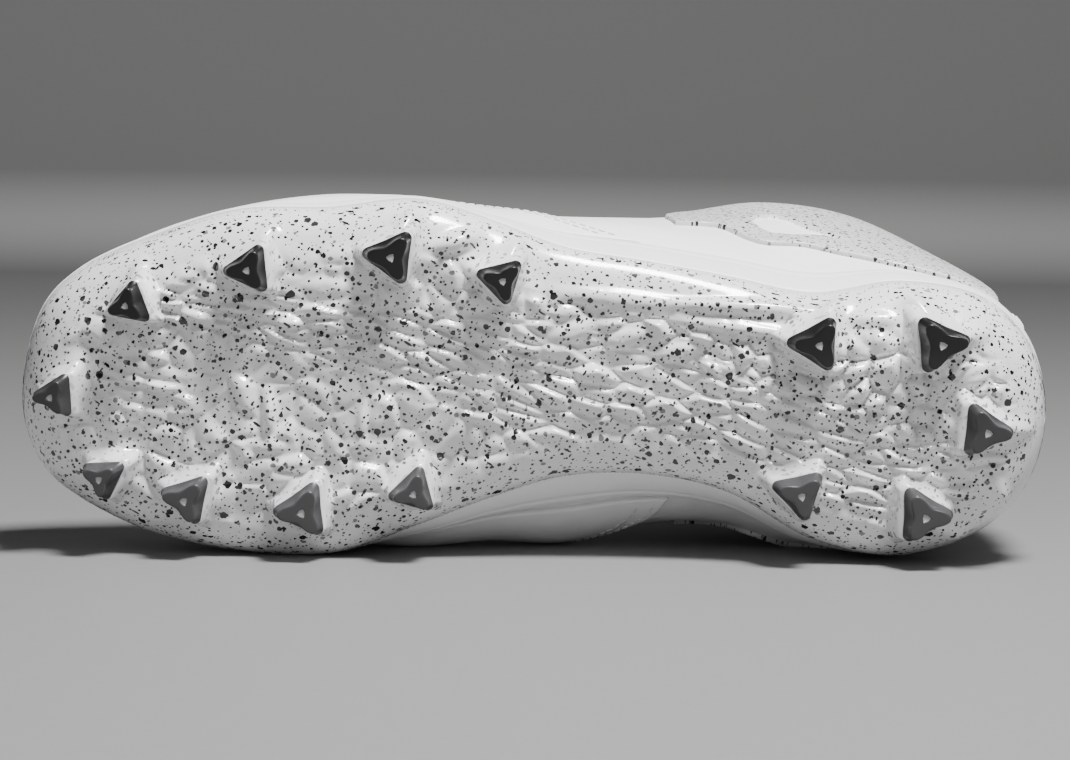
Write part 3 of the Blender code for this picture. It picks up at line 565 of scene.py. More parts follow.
class Builder:
    """Turns arrays of the last into objects that ride on the shoe."""

    @staticmethod
    def mesh(name: str, points: Array, quads: Array) -> Mesh:
        """Makes a mesh from points of the last and quads.

        Args:
            name: Name of the mesh.
            points: Points in the upright frame.
            quads: Four point numbers for each face.

        Returns:
            The mesh, laid down and pressed flat where it meets the floor.
        """
        mesh = bpy.data.meshes.new(name)
        laid = LAY.points(points.reshape(-1, 3)).astype(np.float32)
        laid[:, 2] = np.maximum(laid[:, 2], FLOOR_CLEARANCE)
        mesh.vertices.add(len(laid))
        mesh.vertices.foreach_set("co", laid.ravel())
        mesh.loops.add(quads.size)
        mesh.loops.foreach_set("vertex_index", quads.astype(np.int32).ravel())
        mesh.polygons.add(len(quads))
        mesh.polygons.foreach_set("loop_start", np.arange(0, quads.size, 4, dtype=np.int32))
        mesh.update(calc_edges=True)
        return mesh

    @staticmethod
    def paint(mesh: Mesh, name: str, values: Array) -> None:
        """Keeps one number for each point in the mesh."""
        layer = mesh.attributes.new(name, "FLOAT", "POINT")
        layer.data.foreach_set("value", np.ravel(values).astype(np.float32))

    @staticmethod
    def spread(mesh: Mesh, plan_mm: Array) -> None:
        """Keeps each point's flat place in the mesh, for the speckle.

        Args:
            mesh: The mesh to mark.
            plan_mm: Two numbers for each point, in mm.
        """
        flat = plan_mm.reshape(-1, 2)
        layer = mesh.attributes.new("plan", "FLOAT_VECTOR", "POINT")
        full = np.concatenate([flat, np.zeros((len(flat), 1))], 1).astype(np.float32)
        layer.data.foreach_set("vector", full.ravel())

    @staticmethod
    def clean(mesh: Mesh, merge: float = 2e-6, outward: bool = False) -> None:
        """Merges doubled points and drops the faces that vanish.

        Args:
            mesh: The mesh to clean.
            merge: How close doubled points are. At 0 nothing is merged.
            outward: Whether the faces of closed shells are turned outwards too.
        """
        work = bmesh.new()
        work.from_mesh(mesh)
        if merge:
            bmesh.ops.remove_doubles(work, verts=work.verts, dist=merge)
            bmesh.ops.dissolve_degenerate(work, edges=work.edges, dist=merge)
        if outward:
            bmesh.ops.recalc_face_normals(work, faces=work.faces)
        work.to_mesh(mesh)
        work.free()

    @staticmethod
    def add(
        mesh: Mesh,
        finishes: Sequence["Finish"],
        slot: Slot,
        nodes: Sequence[str],
        sharp_deg: float = 50.0,
    ) -> Piece:
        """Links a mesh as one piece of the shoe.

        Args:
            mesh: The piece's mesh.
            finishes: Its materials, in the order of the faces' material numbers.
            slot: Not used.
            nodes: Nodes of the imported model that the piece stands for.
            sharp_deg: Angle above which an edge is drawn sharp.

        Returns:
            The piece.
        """
        piece = bpy.data.objects.new(mesh.name, mesh)
        bpy.context.scene.collection.objects.link(piece)
        for finish in finishes:
            mesh.materials.append(finish.material())
        mesh.shade_smooth()
        mesh.set_sharp_from_angle(angle=math.radians(sharp_deg))
        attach(piece, BODY)
        for node in nodes:
            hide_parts(node)
        mesh.calc_loop_triangles()
        LOG.info("%s: %d triangles", piece.name, len(mesh.loop_triangles))
        return piece


class Graph:
    """A short way to write a material's nodes."""

    def __init__(self, material: Material) -> None:
        """Starts from the material's own shader.

        Args:
            material: The material to dress.
        """
        material.use_nodes = True
        self.tree = material.node_tree
        self.shader = self.tree.nodes["Principled BSDF"]

    def node(
        self, kind: str, links: dict | None = None, values: dict | None = None, **settings: object
    ) -> bpy.types.Node:
        """Adds a node.

        Args:
            kind: Blender's name for the node.
            links: Input names or numbers and the sockets that feed them.
            values: Input names or numbers and their fixed values.
            **settings: Other properties of the node.

        Returns:
            The node.
        """
        made = self.tree.nodes.new(kind)
        for name, value in settings.items():
            setattr(made, name, value)
        for key, value in (values or {}).items():
            made.inputs[key].default_value = value
        for key, socket in (links or {}).items():
            self.tree.links.new(socket, made.inputs[key])
        return made

    def filled(self, made: bpy.types.Node, terms: Iterable, out: int = 0) -> Socket:
        """Feeds a node's inputs.

        Args:
            made: The node.
            terms: Numbers of inputs, each with a socket or a fixed value.
            out: Number of the output to read.

        Returns:
            The output.
        """
        for index, term in terms:
            if isinstance(term, Socket):
                self.tree.links.new(term, made.inputs[index])
            else:
                made.inputs[index].default_value = term
        return made.outputs[out]

    def math(self, operation: str, *terms: object) -> Socket:
        """Adds a sum of sockets or numbers, and returns its output."""
        made = self.node("ShaderNodeMath", operation=operation)
        return self.filled(made, enumerate(terms))

    def vector(self, operation: str, *terms: object) -> Socket:
        """Adds a sum of vectors, each a socket or three numbers, and returns its output."""
        made = self.node("ShaderNodeVectorMath", operation=operation)
        return self.filled(made, enumerate(terms))

    def mix(self, share: object, first: object, second: object) -> Socket:
        """Mixes two colours.

        Args:
            share: Share of the second, a socket or a number.
            first: A socket or three numbers.
            second: The same.

        Returns:
            The mixed colour.
        """
        made = self.node("ShaderNodeMix", data_type="RGBA")
        ends = ((*end, 1) if isinstance(end, tuple) else end for end in (first, second))
        return self.filled(made, zip((0, 6, 7), (share, *ends)), 2)

    def places_mm(self, source: str = "Object") -> Socket:
        """Places on the object or, from UV, along the piece, in millimetres."""
        links = {0: self.node("ShaderNodeTexCoord").outputs[source]}
        return self.node("ShaderNodeMapping", links, {"Scale": (MM_PER_METRE,) * 3}).outputs[0]

    def noise(
        self, places: Socket, size_mm: float, detail: float = 3.0, roughness: float = 0.5
    ) -> Socket:
        """Smooth noise whose features are about size_mm across."""
        values = {"Scale": 1 / size_mm, "Detail": detail, "Roughness": roughness}
        return self.node("ShaderNodeTexNoise", {"Vector": places}, values).outputs[0]

    def bump(
        self, height: Socket, distance_mm: float, strength: float = 1.0, under: Socket | None = None
    ) -> Socket:
        """Tilts the surface by a height.

        Args:
            height: The height, from 0 to 1.
            distance_mm: How high 1 is.
            strength: Share of the tilt that is kept.
            under: Another bump that this one lies over.

        Returns:
            The tilted normal.
        """
        links = {"Height": height}
        if under is not None:
            links["Normal"] = under
        values = {"Distance": distance_mm * MM, "Strength": strength}
        return self.node("ShaderNodeBump", links, values).outputs[0]

    def feed(self, name: str, socket: Socket) -> None:
        """Links a socket to the shader."""
        self.tree.links.new(socket, self.shader.inputs[name])


@dataclass(frozen=True)
class Finish:
    """A named finish. Values that are alike all over sit on the shader itself."""

    name: str
    colour: Triple
    roughness: float = 0.5
    coat: float = 0.0
    coat_roughness: float = 0.1
    sheen: float = 0.0
    ior: float = 1.5

    def material(self) -> Material:
        """Makes the material once and returns it."""
        if self.name in MATERIALS:
            return MATERIALS[self.name]
        made = MATERIALS[self.name] = bpy.data.materials.new(f"{self.name}_finish")
        graph = Graph(made)
        values = {
            "Base Color": (*self.colour, 1),
            "Roughness": self.roughness,
            "Coat Weight": self.coat,
            "Coat Roughness": self.coat_roughness,
            "Sheen Weight": self.sheen,
            "IOR": self.ior,
        }
        for name, value in values.items():
            graph.shader.inputs[name].default_value = value
        made.diffuse_color = (*self.colour, 1)
        self.dress(graph)
        return made

    def dimmed(self, share: float) -> Triple:
        """The finish's colour, darker by a share."""
        return tuple(share * part for part in self.colour)

    def dress(self, graph: Graph) -> None:
        """Adds the grain of a plain finish: faint noise in colour and height.

        Args:
            graph: The material's nodes.
        """
        places = graph.places_mm()
        cloud = graph.noise(places, 6.0)
        graph.feed("Base Color", graph.mix(cloud, self.dimmed(0.93), self.colour))
        graph.feed("Normal", graph.bump(graph.noise(places, 0.4), 0.02, 0.5))


class Dots(NamedTuple):
    """One layer of splashed dots.

    Cell, radius and shift are in mm, share is that of the cells filled, and stretch and turn say
    how the dots are drawn out.
    """

    cell: float
    radius: float
    share: float
    stretch: float
    turn_deg: float
    shift: float


@dataclass(frozen=True)
class Speckled(Finish):
    """Glossy moulded plastic with splashed dots, thinned out by a painted share.

    The dots lie in the piece's own flat places, kept in mm as the attribute plan.
    """

    dark: Triple = (0.008, 0.008, 0.009)
    grey: Triple = (0.17, 0.17, 0.175)
    black_dots: tuple[Dots, ...] = ()
    grey_dots: tuple[Dots, ...] = ()
    least_size: float = 0.3
    size_range: float = 0.7
    dot_edge_mm: float = 0.07

    def layer(self, graph: Graph, places: Socket, dots: Dots) -> Socket:
        """Makes one layer of dots: cells whose middles are filled where chance has it.

        Args:
            graph: The material's nodes.
            places: Flat places in mm.
            dots: Sizes and share of the layer.

        Returns:
            A socket that is 1 inside a dot.
        """
        values = {"Scale": 0.9 / dots.radius, "Detail": 1.5}
        noise = graph.node("ShaderNodeTexNoise", {"Vector": places}, values, noise_dimensions="2D")
        centred = graph.vector("SUBTRACT", noise.outputs[1], (0.5, 0.5, 0.5))
        moved = graph.vector("MULTIPLY_ADD", centred, (dots.radius * 0.75,) * 3, places)
        rotation = (0, 0, math.radians(dots.turn_deg))
        values = {"Rotation": rotation, "Location": (dots.shift, dots.shift, 0)}
        turned = graph.node("ShaderNodeMapping", {0: moved}, values).outputs[0]
        values = {"Scale": (1 / dots.stretch, 1, 1)}
        drawn = graph.node("ShaderNodeMapping", {0: turned}, values).outputs[0]
        links, values = {"Vector": drawn}, {"Scale": 1 / dots.cell}
        cells = graph.node("ShaderNodeTexVoronoi", links, values, voronoi_dimensions="2D")
        chance = graph.node("ShaderNodeSeparateColor", {0: cells.outputs["Color"]})
        there = graph.math("LESS_THAN", chance.outputs[0], dots.share)
        size = graph.math("POWER", chance.outputs[1], 1.4)
        least = self.least_size * dots.radius / dots.cell
        more = self.size_range * dots.radius / dots.cell
        reach = graph.math("MULTIPLY_ADD", size, more, least)
        depth = graph.math("SUBTRACT", reach, cells.outputs["Distance"])
        soft = graph.math("DIVIDE", depth, self.dot_edge_mm / dots.cell)
        soft = graph.math("MULTIPLY", soft, there)
        return graph.node("ShaderNodeClamp", {0: soft}).outputs[0]

    def splash(self, graph: Graph, places: Socket, layers: Sequence[Dots]) -> Socket:
        """Joins layers of dots into one mask.

        Args:
            graph: The material's nodes.
            places: Flat places in mm.
            layers: The layers to join.

        Returns:
            A socket that is 1 inside a dot, thinned out by the painted share.
        """
        joined = self.layer(graph, places, layers[0])
        for dots in layers[1:]:
            joined = graph.math("MAXIMUM", joined, self.layer(graph, places, dots))
        painted = graph.node("ShaderNodeAttribute", attribute_name="speckle")
        return graph.math("MULTIPLY", joined, painted.outputs["Fac"])

    def dress(self, graph: Graph) -> None:
        """Lays grey and black dots over a faintly clouded ground.

        Args:
            graph: The material's nodes.
        """
        plan = graph.node("ShaderNodeAttribute", attribute_name="plan").outputs["Vector"]
        cloud = graph.noise(graph.places_mm(), 9.0)
        ground = graph.mix(cloud, self.dimmed(0.95), self.colour)
        dimmed = graph.mix(self.splash(graph, plan, self.grey_dots), ground, self.grey)
        black = self.splash(graph, plan, self.black_dots)
        graph.feed("Base Color", graph.mix(black, dimmed, self.dark))
        graph.feed("Normal", graph.bump(graph.noise(graph.places_mm(), 1.6, 4.0), 0.04, 0.6))


@dataclass(frozen=True)
class CapWithPaintedReflection(Finish):
    """Dark hard plastic, with a painted reflection: the studs near the floor are painted paler."""

    # low is a painted reflection: the paler colour given to the caps near the floor.
    low: Triple = (0.048, 0.048, 0.050)
    reflection_full_up: float = 0.030
    reflection_gone_up: float = 0.066

    def dress(self, graph: Graph) -> None:
        """Grades the colour by height, a painted reflection that pales the caps near the floor, and
        adds a fine grain.

        Args:
            graph: The material's nodes.
        """
        coordinates = graph.node("ShaderNodeTexCoord").outputs["Object"]
        height = graph.node("ShaderNodeSeparateXYZ", {0: coordinates}).outputs[2]
        # Painted reflection: the lowest caps take the paler colour low, fading to the cap's own
        # dark colour higher up.
        values = {1: self.reflection_full_up, 2: self.reflection_gone_up}
        share = graph.node("ShaderNodeMapRange", {0: height}, values).outputs[0]
        graph.feed("Base Color", graph.mix(share, self.low, self.colour))
        graph.feed("Normal", graph.bump(graph.noise(graph.places_mm(), 0.5), 0.015, 0.5))


@dataclass(frozen=True)
class Leather(Finish):
    """Smooth coated leather with a fine grain."""

    grain_mm: float = 0.9
    grain_height_mm: float = 0.05
    gloss_range: tuple[float, float] = (-0.06, 0.08)

    def dress(self, graph: Graph) -> None:
        """Adds pores, a soft unevenness and a gloss that varies.

        Args:
            graph: The material's nodes.
        """
        places = graph.places_mm()
        cloud = graph.noise(places, 14.0, 4.0)
        graph.feed("Base Color", graph.mix(cloud, self.dimmed(0.955), self.colour))
        values = {3 + end: self.roughness + self.gloss_range[end] for end in (0, 1)}
        worn = graph.node("ShaderNodeMapRange", {0: graph.noise(places, 5.0)}, values)
        graph.feed("Roughness", worn.outputs[0])
        links, values = {"Vector": places}, {"Scale": 1 / self.grain_mm}
        pores = graph.node("ShaderNodeTexVoronoi", links, values, feature="SMOOTH_F1")
        soft = graph.bump(graph.noise(places, 7.0), 0.5, 0.5)
        graph.feed("Normal", graph.bump(pores.outputs[0], self.grain_height_mm, 0.7, soft))


@dataclass(frozen=True)
class Cloth(Finish):
    """Knitted or woven cloth: two crossing waves of thread."""

    thread_mm: float = 0.8
    height_mm: float = 0.25
    by_length: bool = False
    wave_scale: float = 0.3142

    def dress(self, graph: Graph) -> None:
        """Weaves threads in height, and in colour as painted shade that darkens the hollows between
        them.

        Args:
            graph: The material's nodes.
        """
        links = {"Vector": graph.places_mm("UV" if self.by_length else "Object")}
        values = {"Scale": self.wave_scale / self.thread_mm, "Distortion": 0.6, "Detail": 1.0}
        waves = []
        for direction in ("X", "Y", "Z"):
            wave = graph.node("ShaderNodeTexWave", links, values, bands_direction=direction)
            waves.append(wave.outputs[1])
        woven = graph.math("MULTIPLY", graph.math("ADD", waves[0], waves[1]), 0.5)
        if not self.by_length:
            woven = graph.math("MULTIPLY", graph.math("ADD", woven, waves[2]), 0.6)
        # Painted shade: where the weave is low, between the threads, the colour is painted darker,
        # down to 0.72 of the cloth's own.
        graph.feed("Base Color", graph.mix(woven, self.dimmed(0.72), self.colour))
        graph.feed("Normal", graph.bump(woven, self.height_mm, 0.8))


PLATE = Speckled(
    "speckled_plate",
    (0.77, 0.77, 0.775),
    roughness=0.26,
    coat=0.7,
    coat_roughness=0.10,
    black_dots=(
        Dots(8, 1.25, 0.80, 1, 0, 0),
        Dots(3.6, 0.80, 0.78, 1, 20, 31),
        Dots(2.1, 0.48, 0.80, 1.15, 50, 57),
        Dots(5, 0.48, 0.55, 3.2, -35, 13),
        Dots(4.4, 0.40, 0.50, 2.6, 60, 23),
    ),
    grey_dots=(
        Dots(5.2, 0.85, 0.55, 1.1, 10, 77),
        Dots(3, 0.50, 0.45, 1.3, 70, 91),
    ),
)
PANEL = Speckled(
    "speckled_panel",
    (0.56, 0.56, 0.57),
    roughness=0.42,
    coat=0.15,
    black_dots=(
        Dots(2.2, 0.55, 0.65, 1, 0, 5),
        Dots(1.4, 0.36, 0.65, 1, 40, 41),
    ),
    grey_dots=(
        Dots(2.2, 0.50, 0.60, 1, 0, 67),
        Dots(1.6, 0.34, 0.60, 1, 30, 15),
    ),
)
CAP = CapWithPaintedReflection(
    "stud_cap_painted_reflection", (0.006, 0.006, 0.0065), roughness=0.38, coat=0.1, coat_roughness=0.2, ior=1.4
)
MARK = Finish("stud_mark", (0.42, 0.42, 0.43), roughness=0.45)
FOAM = Finish("foam", (0.88, 0.88, 0.884), roughness=0.42, coat=0.15, coat_roughness=0.3)
LEATHER = Leather("leather", (0.90, 0.90, 0.903), roughness=0.38, coat=0.1, coat_roughness=0.3)
LINING = Cloth("lining", (0.50, 0.50, 0.51), roughness=0.9, sheen=0.3, thread_mm=0.9)
LACE = Cloth("lace", (0.82, 0.82, 0.825), roughness=0.8, sheen=0.2, thread_mm=0.45, by_length=True)
THREAD = Finish("thread", (0.74, 0.74, 0.745), roughness=0.6)
FLOOR = Finish("studio_floor", (0.19, 0.19, 0.188), roughness=0.6)


def soft_noise(x: Array, y: Array, size: float, seed: int) -> Array:
    """Smooth noise from -1 to 1 in plan.

    Args:
        x: First coordinates.
        y: Second coordinates, in the same unit.
        size: Distance between independent values.
        seed: Number that fixes the pattern.

    Returns:
        One value for each place.
    """
    table = np.random.default_rng(seed).uniform(-1, 1, (NOISE_TABLE, NOISE_TABLE))
    u, v = x / size, y / size
    i, j = np.floor(u).astype(int), np.floor(v).astype(int)
    s, t = smoothstep(u - i, 0, 1), smoothstep(v - j, 0, 1)
    i, j, right, above = (at % NOISE_TABLE for at in (i, j, i + 1, j + 1))
    low = table[i, j] * (1 - s) + table[right, j] * s
    high = table[i, above] * (1 - s) + table[right, above] * s
    return low * (1 - t) + high * t


class Cells(NamedTuple):
    """What a field of cells says at each place."""

    edge: Array
    across: Array
    along: Array
    chance: Array


def cell_field(u: Array, v: Array, seed: int, jitter: float = 0.8) -> Cells:
    """Reads a field of jittered cells, one to a unit square.

    Args:
        u: First coordinates, in cells.
        v: Second coordinates, in cells.
        seed: Number that fixes the pattern.
        jitter: How far the cells' middles stray.

    Returns:
        Distance to the cell's edge, the place in the cell and a random number for each cell.
    """
    table = np.random.default_rng(seed).uniform(0, 1, (NOISE_TABLE, NOISE_TABLE, 3))
    i, j = np.floor(u).astype(int), np.floor(v).astype(int)
    found = []
    for di in (-1, 0, 1):
        for dj in (-1, 0, 1):
            random = table[(i + di) % NOISE_TABLE, (j + dj) % NOISE_TABLE]
            du = u - (i + di + 0.5 + (random[..., 0] - 0.5) * jitter)
            dv = v - (j + dj + 0.5 + (random[..., 1] - 0.5) * jitter)
            found.append((np.hypot(du, dv), du, dv, random[..., 2]))
    reach = np.stack([item[0] for item in found])
    order = np.argsort(reach, axis=0)[:2]
    first, second = np.take_along_axis(reach, order, 0)
    rest = [np.stack([item[k] for item in found]) for k in (1, 2, 3)]
    du, dv, chance = (np.take_along_axis(values, order[:1], 0)[0] for values in rest)
    return Cells(second - first, dv, du, chance)


class Fin(NamedTuple):
    """A ridge from a stud to a place on the plate, in mm of the upright frame."""

    stud: str
    x: float
    y: float
    height: float
    width: float


class Lump(NamedTuple):
    """A long rounded bump or, with a negative height, a hollow, in mm of the upright frame."""

    x: float
    y: float
    half_length: float
    half_width: float
    turn: float
    height: float


FINS = (
    Fin("toe", 281, 15.5, 4.2, 2.4),
    Fin("outer_1", 263.5, 41.5, 4.6, 2.6),
    Fin("outer_2", 225.5, 52, 5, 2.8),
    Fin("outer_3", 183.5, 57.5, 5.6, 2.6),
    Fin("outer_4", 153.5, 48.5, 5, 2.4),
    Fin("inner_1", 268, -11.5, 3.6, 3),
    Fin("inner_2", 240, -16, 4, 2.6),
    Fin("inner_3", 211, -20.5, 4, 2.6),
    Fin("inner_4", 183.5, -14.5, 4, 2.4),
    Fin("heel_outer_1", 60.5, 32, 5, 2.6),
    Fin("heel_outer_2", 44, 34, 4.8, 2.6),
    Fin("heel_outer_2", 17, 20, 3.6, 2.8),
    Fin("heel_back", 4, -9, 4, 3.2),
    Fin("heel_inner_1", 88, -24.5, 2.6, 2.8),
    Fin("heel_inner_2", 21, -44, 3.2, 3),
)
LUMPS = (
    Lump(173.5, 46.5, 6.5, 2.6, -12, 3),
    Lump(227.5, -4, 2, 6.5, 0, 2.4),
    Lump(227.5, -13, 6, 2.6, 0, 1.6),
    Lump(200.5, -6, 1.8, 5.5, 4, 2.1),
    Lump(200.5, -13, 5, 2.4, 0, 1.4),
    Lump(248.5, 25.5, 5, 1.9, 14, 2.4),
    Lump(221, 23.5, 4.6, 1.9, 4, 2.4),
    Lump(199, 17.5, 1.1, 5.5, -8, 1.5),
    Lump(262, 9.5, 13, 2.6, 14, 1.3),
    Lump(265, 1.5, 10, 2.4, 12, 1),
    Lump(261.5, -33.5, 5.5, 2.6, 24, -1.5),
    Lump(200, -35, 6.5, 2.2, -4, -1.3),
    Lump(244, 33, 6, 2.6, 20, 1.5),
    Lump(211, 34, 8, 3.6, 2, 1.6),
    Lump(86, 27, 22, 1.9, 4, 2.1),
    Lump(90, 21.5, 20, 1.8, 7, 1.7),
    Lump(124, 29.5, 24, 2.6, 6, 1.3),
    Lump(140, 20, 7, 3.2, -18, 1.6),
    Lump(124, 18.5, 6.5, 3, -14, 1.5),
    Lump(108, 14.5, 6.5, 2.8, -10, 1.5),
    Lump(52, 24, 7.5, 2, 0, 1.3),
    Lump(22, 8, 6, 3.4, -30, 1.5),
    Lump(29, -21, 7.5, 2.4, 28, -1.6),
    Lump(16, -26, 8, 3, 55, 1.2),
)


class Seed(IntEnum):
    """Numbers that fix the patterns of the relief."""

    SWAY = 3
    DRIFT_X = 5
    DRIFT_Y = 6
    SWELL = 9
    RIPPLE = 10
    SCALES = 11
    PEBBLES = 23


@dataclass(frozen=True)
class Relief:
    """The moulded relief of the plate, as a height in mm over its smooth bowl."""

    margin_mm: float = 8.0
    margin_turn_mm: float = 7.0
    lump_gain: float = 1.25
    fin_gain: float = 1.15
    sway_mm: float = 2.2
    drift_mm: float = 2.6
    swell_mm: float = 1.4
    ripple_mm: float = 0.7
    heel_end_mm: float = 105.0
    pebble_height_mm: float = 3.1
    scale_height_mm: float = 2.9
    pebble_mm: float = 8.2
    heel_pebble_mm: float = 6.6
    scale_length_mm: float = 11.5
    scale_width_mm: float = 4.8
    band_x: tuple[float, ...] = (40.0, 73.0, 110.0, 150.0, 190.0, 230.0, 262.0, 290.0)
    band_y: tuple[float, ...] = (-24.0, -16.0, -5.0, 4.0, 16.0, 25.5, 31.0, 33.0)
    band_half: tuple[float, ...] = (13.0, 17.0, 20.0, 19.0, 12.0, 8.0, 6.0, 4.0)

    def scales(self, x: Array, y: Array) -> Pair:
        """Shingled lens scales that flow along the foot: jittered cells, domed and tilted.

        Args:
            x: Distances from the heel, in mm.
            y: Distances across, in mm.

        Returns:
            Heights in mm, and the share of the band at each place.
        """
        middle = np.interp(x, self.band_x, self.band_y)
        half = np.interp(x, self.band_x, self.band_half)
        offset = (y - middle) / half
        sway = self.sway_mm * soft_noise(x, y, 17.0, Seed.SWAY)
        spread = (half / 19.0) ** 0.35
        u = (x + sway) / self.scale_length_mm
        v = (y - middle + 0.6 * sway) / (self.scale_width_mm * spread)
        cells = cell_field(u, v, Seed.SCALES)
        dome = 1 - (1 - np.clip(cells.edge / 0.62, 0, 1)) ** 2
        tilt = 0.55 + 0.75 * cells.across
        height = dome * np.clip(tilt, 0.1, 1.3) * (0.6 + 0.6 * cells.chance) * self.scale_height_mm
        return height, 1 - smoothstep(np.abs(offset), 0.72, 1.25)

    def pebbles(self, x: Array, y: Array) -> Array:
        """Rounded pebbles of the forefoot and the heel: jittered cells, domed and tilted.

        Args:
            x: Distances from the heel, in mm.
            y: Distances across, in mm.

        Returns:
            Heights in mm.
        """
        size = np.where(x > self.heel_end_mm, self.pebble_mm, self.heel_pebble_mm)
        drift_x = self.drift_mm * soft_noise(x, y, 13.0, Seed.DRIFT_X)
        drift_y = self.drift_mm * soft_noise(x, y, 13.0, Seed.DRIFT_Y)
        cells = cell_field((x + drift_x) / size, (y + drift_y) / size, Seed.PEBBLES, 0.9)
        dome = 1 - (1 - np.clip(cells.edge / 0.7, 0, 1)) ** 2
        tilt = 0.8 + 0.45 * cells.across - 0.25 * cells.along
        strength = 0.75 + 0.45 * (1 - smoothstep(x, 60, 120))
        return dome * tilt * (0.35 + 0.9 * cells.chance) * strength * self.pebble_height_mm

    def height_mm(self, x: Array, y: Array, gap: Array) -> Array:
        """Adds up the relief.

        Args:
            x: Distances from the heel, in mm.
            y: Distances across, in mm.
            gap: Distances to the plate's edge, in mm.

        Returns:
            Heights away from the foot, in mm.
        """
        inner = smoothstep(gap, self.margin_mm, self.margin_mm + self.margin_turn_mm)
        scales, band = self.scales(x, y)
        ground = self.pebbles(x, y) * (1 - band) + scales * band
        swell = self.swell_mm * soft_noise(x, y, 19.0, Seed.SWELL)
        swell = swell + self.ripple_mm * soft_noise(x, y, 9.0, Seed.RIPPLE)
        height = inner * (ground + swell)
        calm = np.ones_like(x)
        raised = np.zeros_like(x)
        for lump in LUMPS:
            turn = math.radians(lump.turn)
            du = (x - lump.x) * math.cos(turn) + (y - lump.y) * math.sin(turn)
            dv = (y - lump.y) * math.cos(turn) - (x - lump.x) * math.sin(turn)
            reach = np.hypot(du / lump.half_length, dv / lump.half_width)
            body = (1 - smoothstep(reach, 0.25, 1.45)) * smoothstep(gap, 1.0, 5.0)
            raised += self.lump_gain * lump.height * body
            calm = np.minimum(calm, 1 - 0.85 * (1 - smoothstep(reach, 0.8, 1.6)))
        for fin in FINS:
            rise, share = self.fin(fin, x, y)
            raised = np.maximum(raised, rise * smoothstep(gap, 0.2, 4.5))
            calm = np.minimum(calm, 1 - share)
        return height * calm + raised

    def fin(self, fin: Fin, x: Array, y: Array) -> Pair:
        """One ridge that falls away from its stud.

        Args:
            fin: The ridge.
            x: Distances from the heel, in mm.
            y: Distances across, in mm.

        Returns:
            Its height in mm, and how far it smooths what lies round it.
        """
        stud = next(stud for stud in STUDS if stud.name == fin.stud)
        start = LAST.stud_plan(stud) / MM
        run = np.array([fin.x, fin.y]) - start
        length = float(np.hypot(*run))
        run /= length
        along = (x - start[0]) * run[0] + (y - start[1]) * run[1]
        aside = (y - start[1]) * run[0] - (x - start[0]) * run[1]
        share = np.clip(along / length, 0, 1)
        wide = fin.width * (1 + 0.9 * (1 - share))
        beyond = np.clip(along - length, 0, None) + np.clip(-along, 0, None)
        reach = np.hypot(aside, beyond) / wide
        body = 1 / (1 + reach**2) ** 2 * (1 - smoothstep(reach, 1.2, 2.6))
        rise = self.fin_gain * fin.height * (1 - share) ** 0.8 * body
        return rise, 0.9 * (1 - smoothstep(reach, 0.8, 2.2))


@dataclass(frozen=True)
class StudShape:
    """Outline and height of the studs: a three-cornered foot with a dark cap."""

    cap_height: float = 0.0045
    draft: float = 0.0016
    waist: float = 0.50
    blunt: float = 0.22
    foot_flare: float = 0.0040
    lean: float = 1.5
    middle: tuple[float, float] = (0.165, 0.008)
    corner_steps: int = 5
    side_steps: int = 7

    @property
    def points(self) -> int:
        """Number of points round a stud."""
        return 6 * (self.corner_steps + self.side_steps)

    def outline(self, corner: float, side: float) -> Pair:
        """Three rounded corners joined by slightly hollow sides.

        Args:
            corner: Radius at the corners.
            side: Radius at the middles of the sides.

        Returns:
            Angles from the leading corner, and radii.
        """
        bend = self.blunt * corner
        reach = corner - bend
        turns = np.linspace(0, math.pi / 3, self.corner_steps + 1)
        leans = np.arctan2(bend * np.sin(turns), reach + bend * np.cos(turns))
        rest = np.linspace(leans[-1], math.pi / 3, self.side_steps + 1)[1:]
        leans = np.concatenate([leans, rest])
        straight = reach / 2 + bend
        inside = np.clip(bend**2 - (reach * np.sin(leans)) ** 2, 0, None)
        rounded = reach * np.cos(leans) + np.sqrt(inside)
        share = np.clip((leans - rest[0]) / (math.pi / 3 - rest[0]), 0, 1)
        hollow = (straight - side) * (1 - (1 - share) ** 2)
        flat = straight / np.cos(math.pi / 3 - leans) - hollow
        radii = np.where(np.arange(len(leans)) <= self.corner_steps, rounded, flat)
        angles = np.concatenate([leans, 2 * math.pi / 3 - leans[-2:0:-1]])
        radii = np.concatenate([radii, radii[-2:0:-1]])
        return np.add.outer(np.arange(3) * 2 * math.pi / 3, angles).ravel(), np.tile(radii, 3)

    def axes(self, stud: Stud) -> Frame:
        """Finds how a stud stands, square to the plate's underside.

        Args:
            stud: The stud.

        Returns:
            Middle of its tip, and its ways forwards, outwards and up into the plate.
        """
        x, y = LAST.stud_plan(stud)
        slope = float(LAST.bottom_up(x + MM) - LAST.bottom_up(x - MM)) / (2 * MM)
        forward, outward = unit(np.array([1.0, 0.0, slope])), np.array([0.0, 1.0, 0.0])
        up = unit(np.array([-slope, 0.0, 1.0]))
        root = np.array([x, y, float(LAST.bottom_up(x))])
        return root - up * LAST.stud_height, forward, outward, up

    def ring(self, stud: Stud, grow: float, up_by: float, scale: float = 1.0) -> Array:
        """A three-cornered ring round a stud.

        Args:
            stud: The stud.
            grow: How far the ring stands outside the tip's outline.
            up_by: Its height above the tip.
            scale: Share of the outline's size.

        Returns:
            The ring's points.
        """
        tip, forward, outward, up = self.axes(stud)
        side = stud.size * self.waist * scale + grow
        angles, radii = self.outline(stud.size * scale + grow, side)
        turned = angles + math.radians(stud.turn)
        flat = radii[:, None] * np.stack([np.cos(turned), np.sin(turned)], -1)
        flat += up_by * ((np.array(self.middle) - tip[:2]) * self.lean)
        return tip + flat[:, :1] * forward + flat[:, 1:] * outward + up * up_by


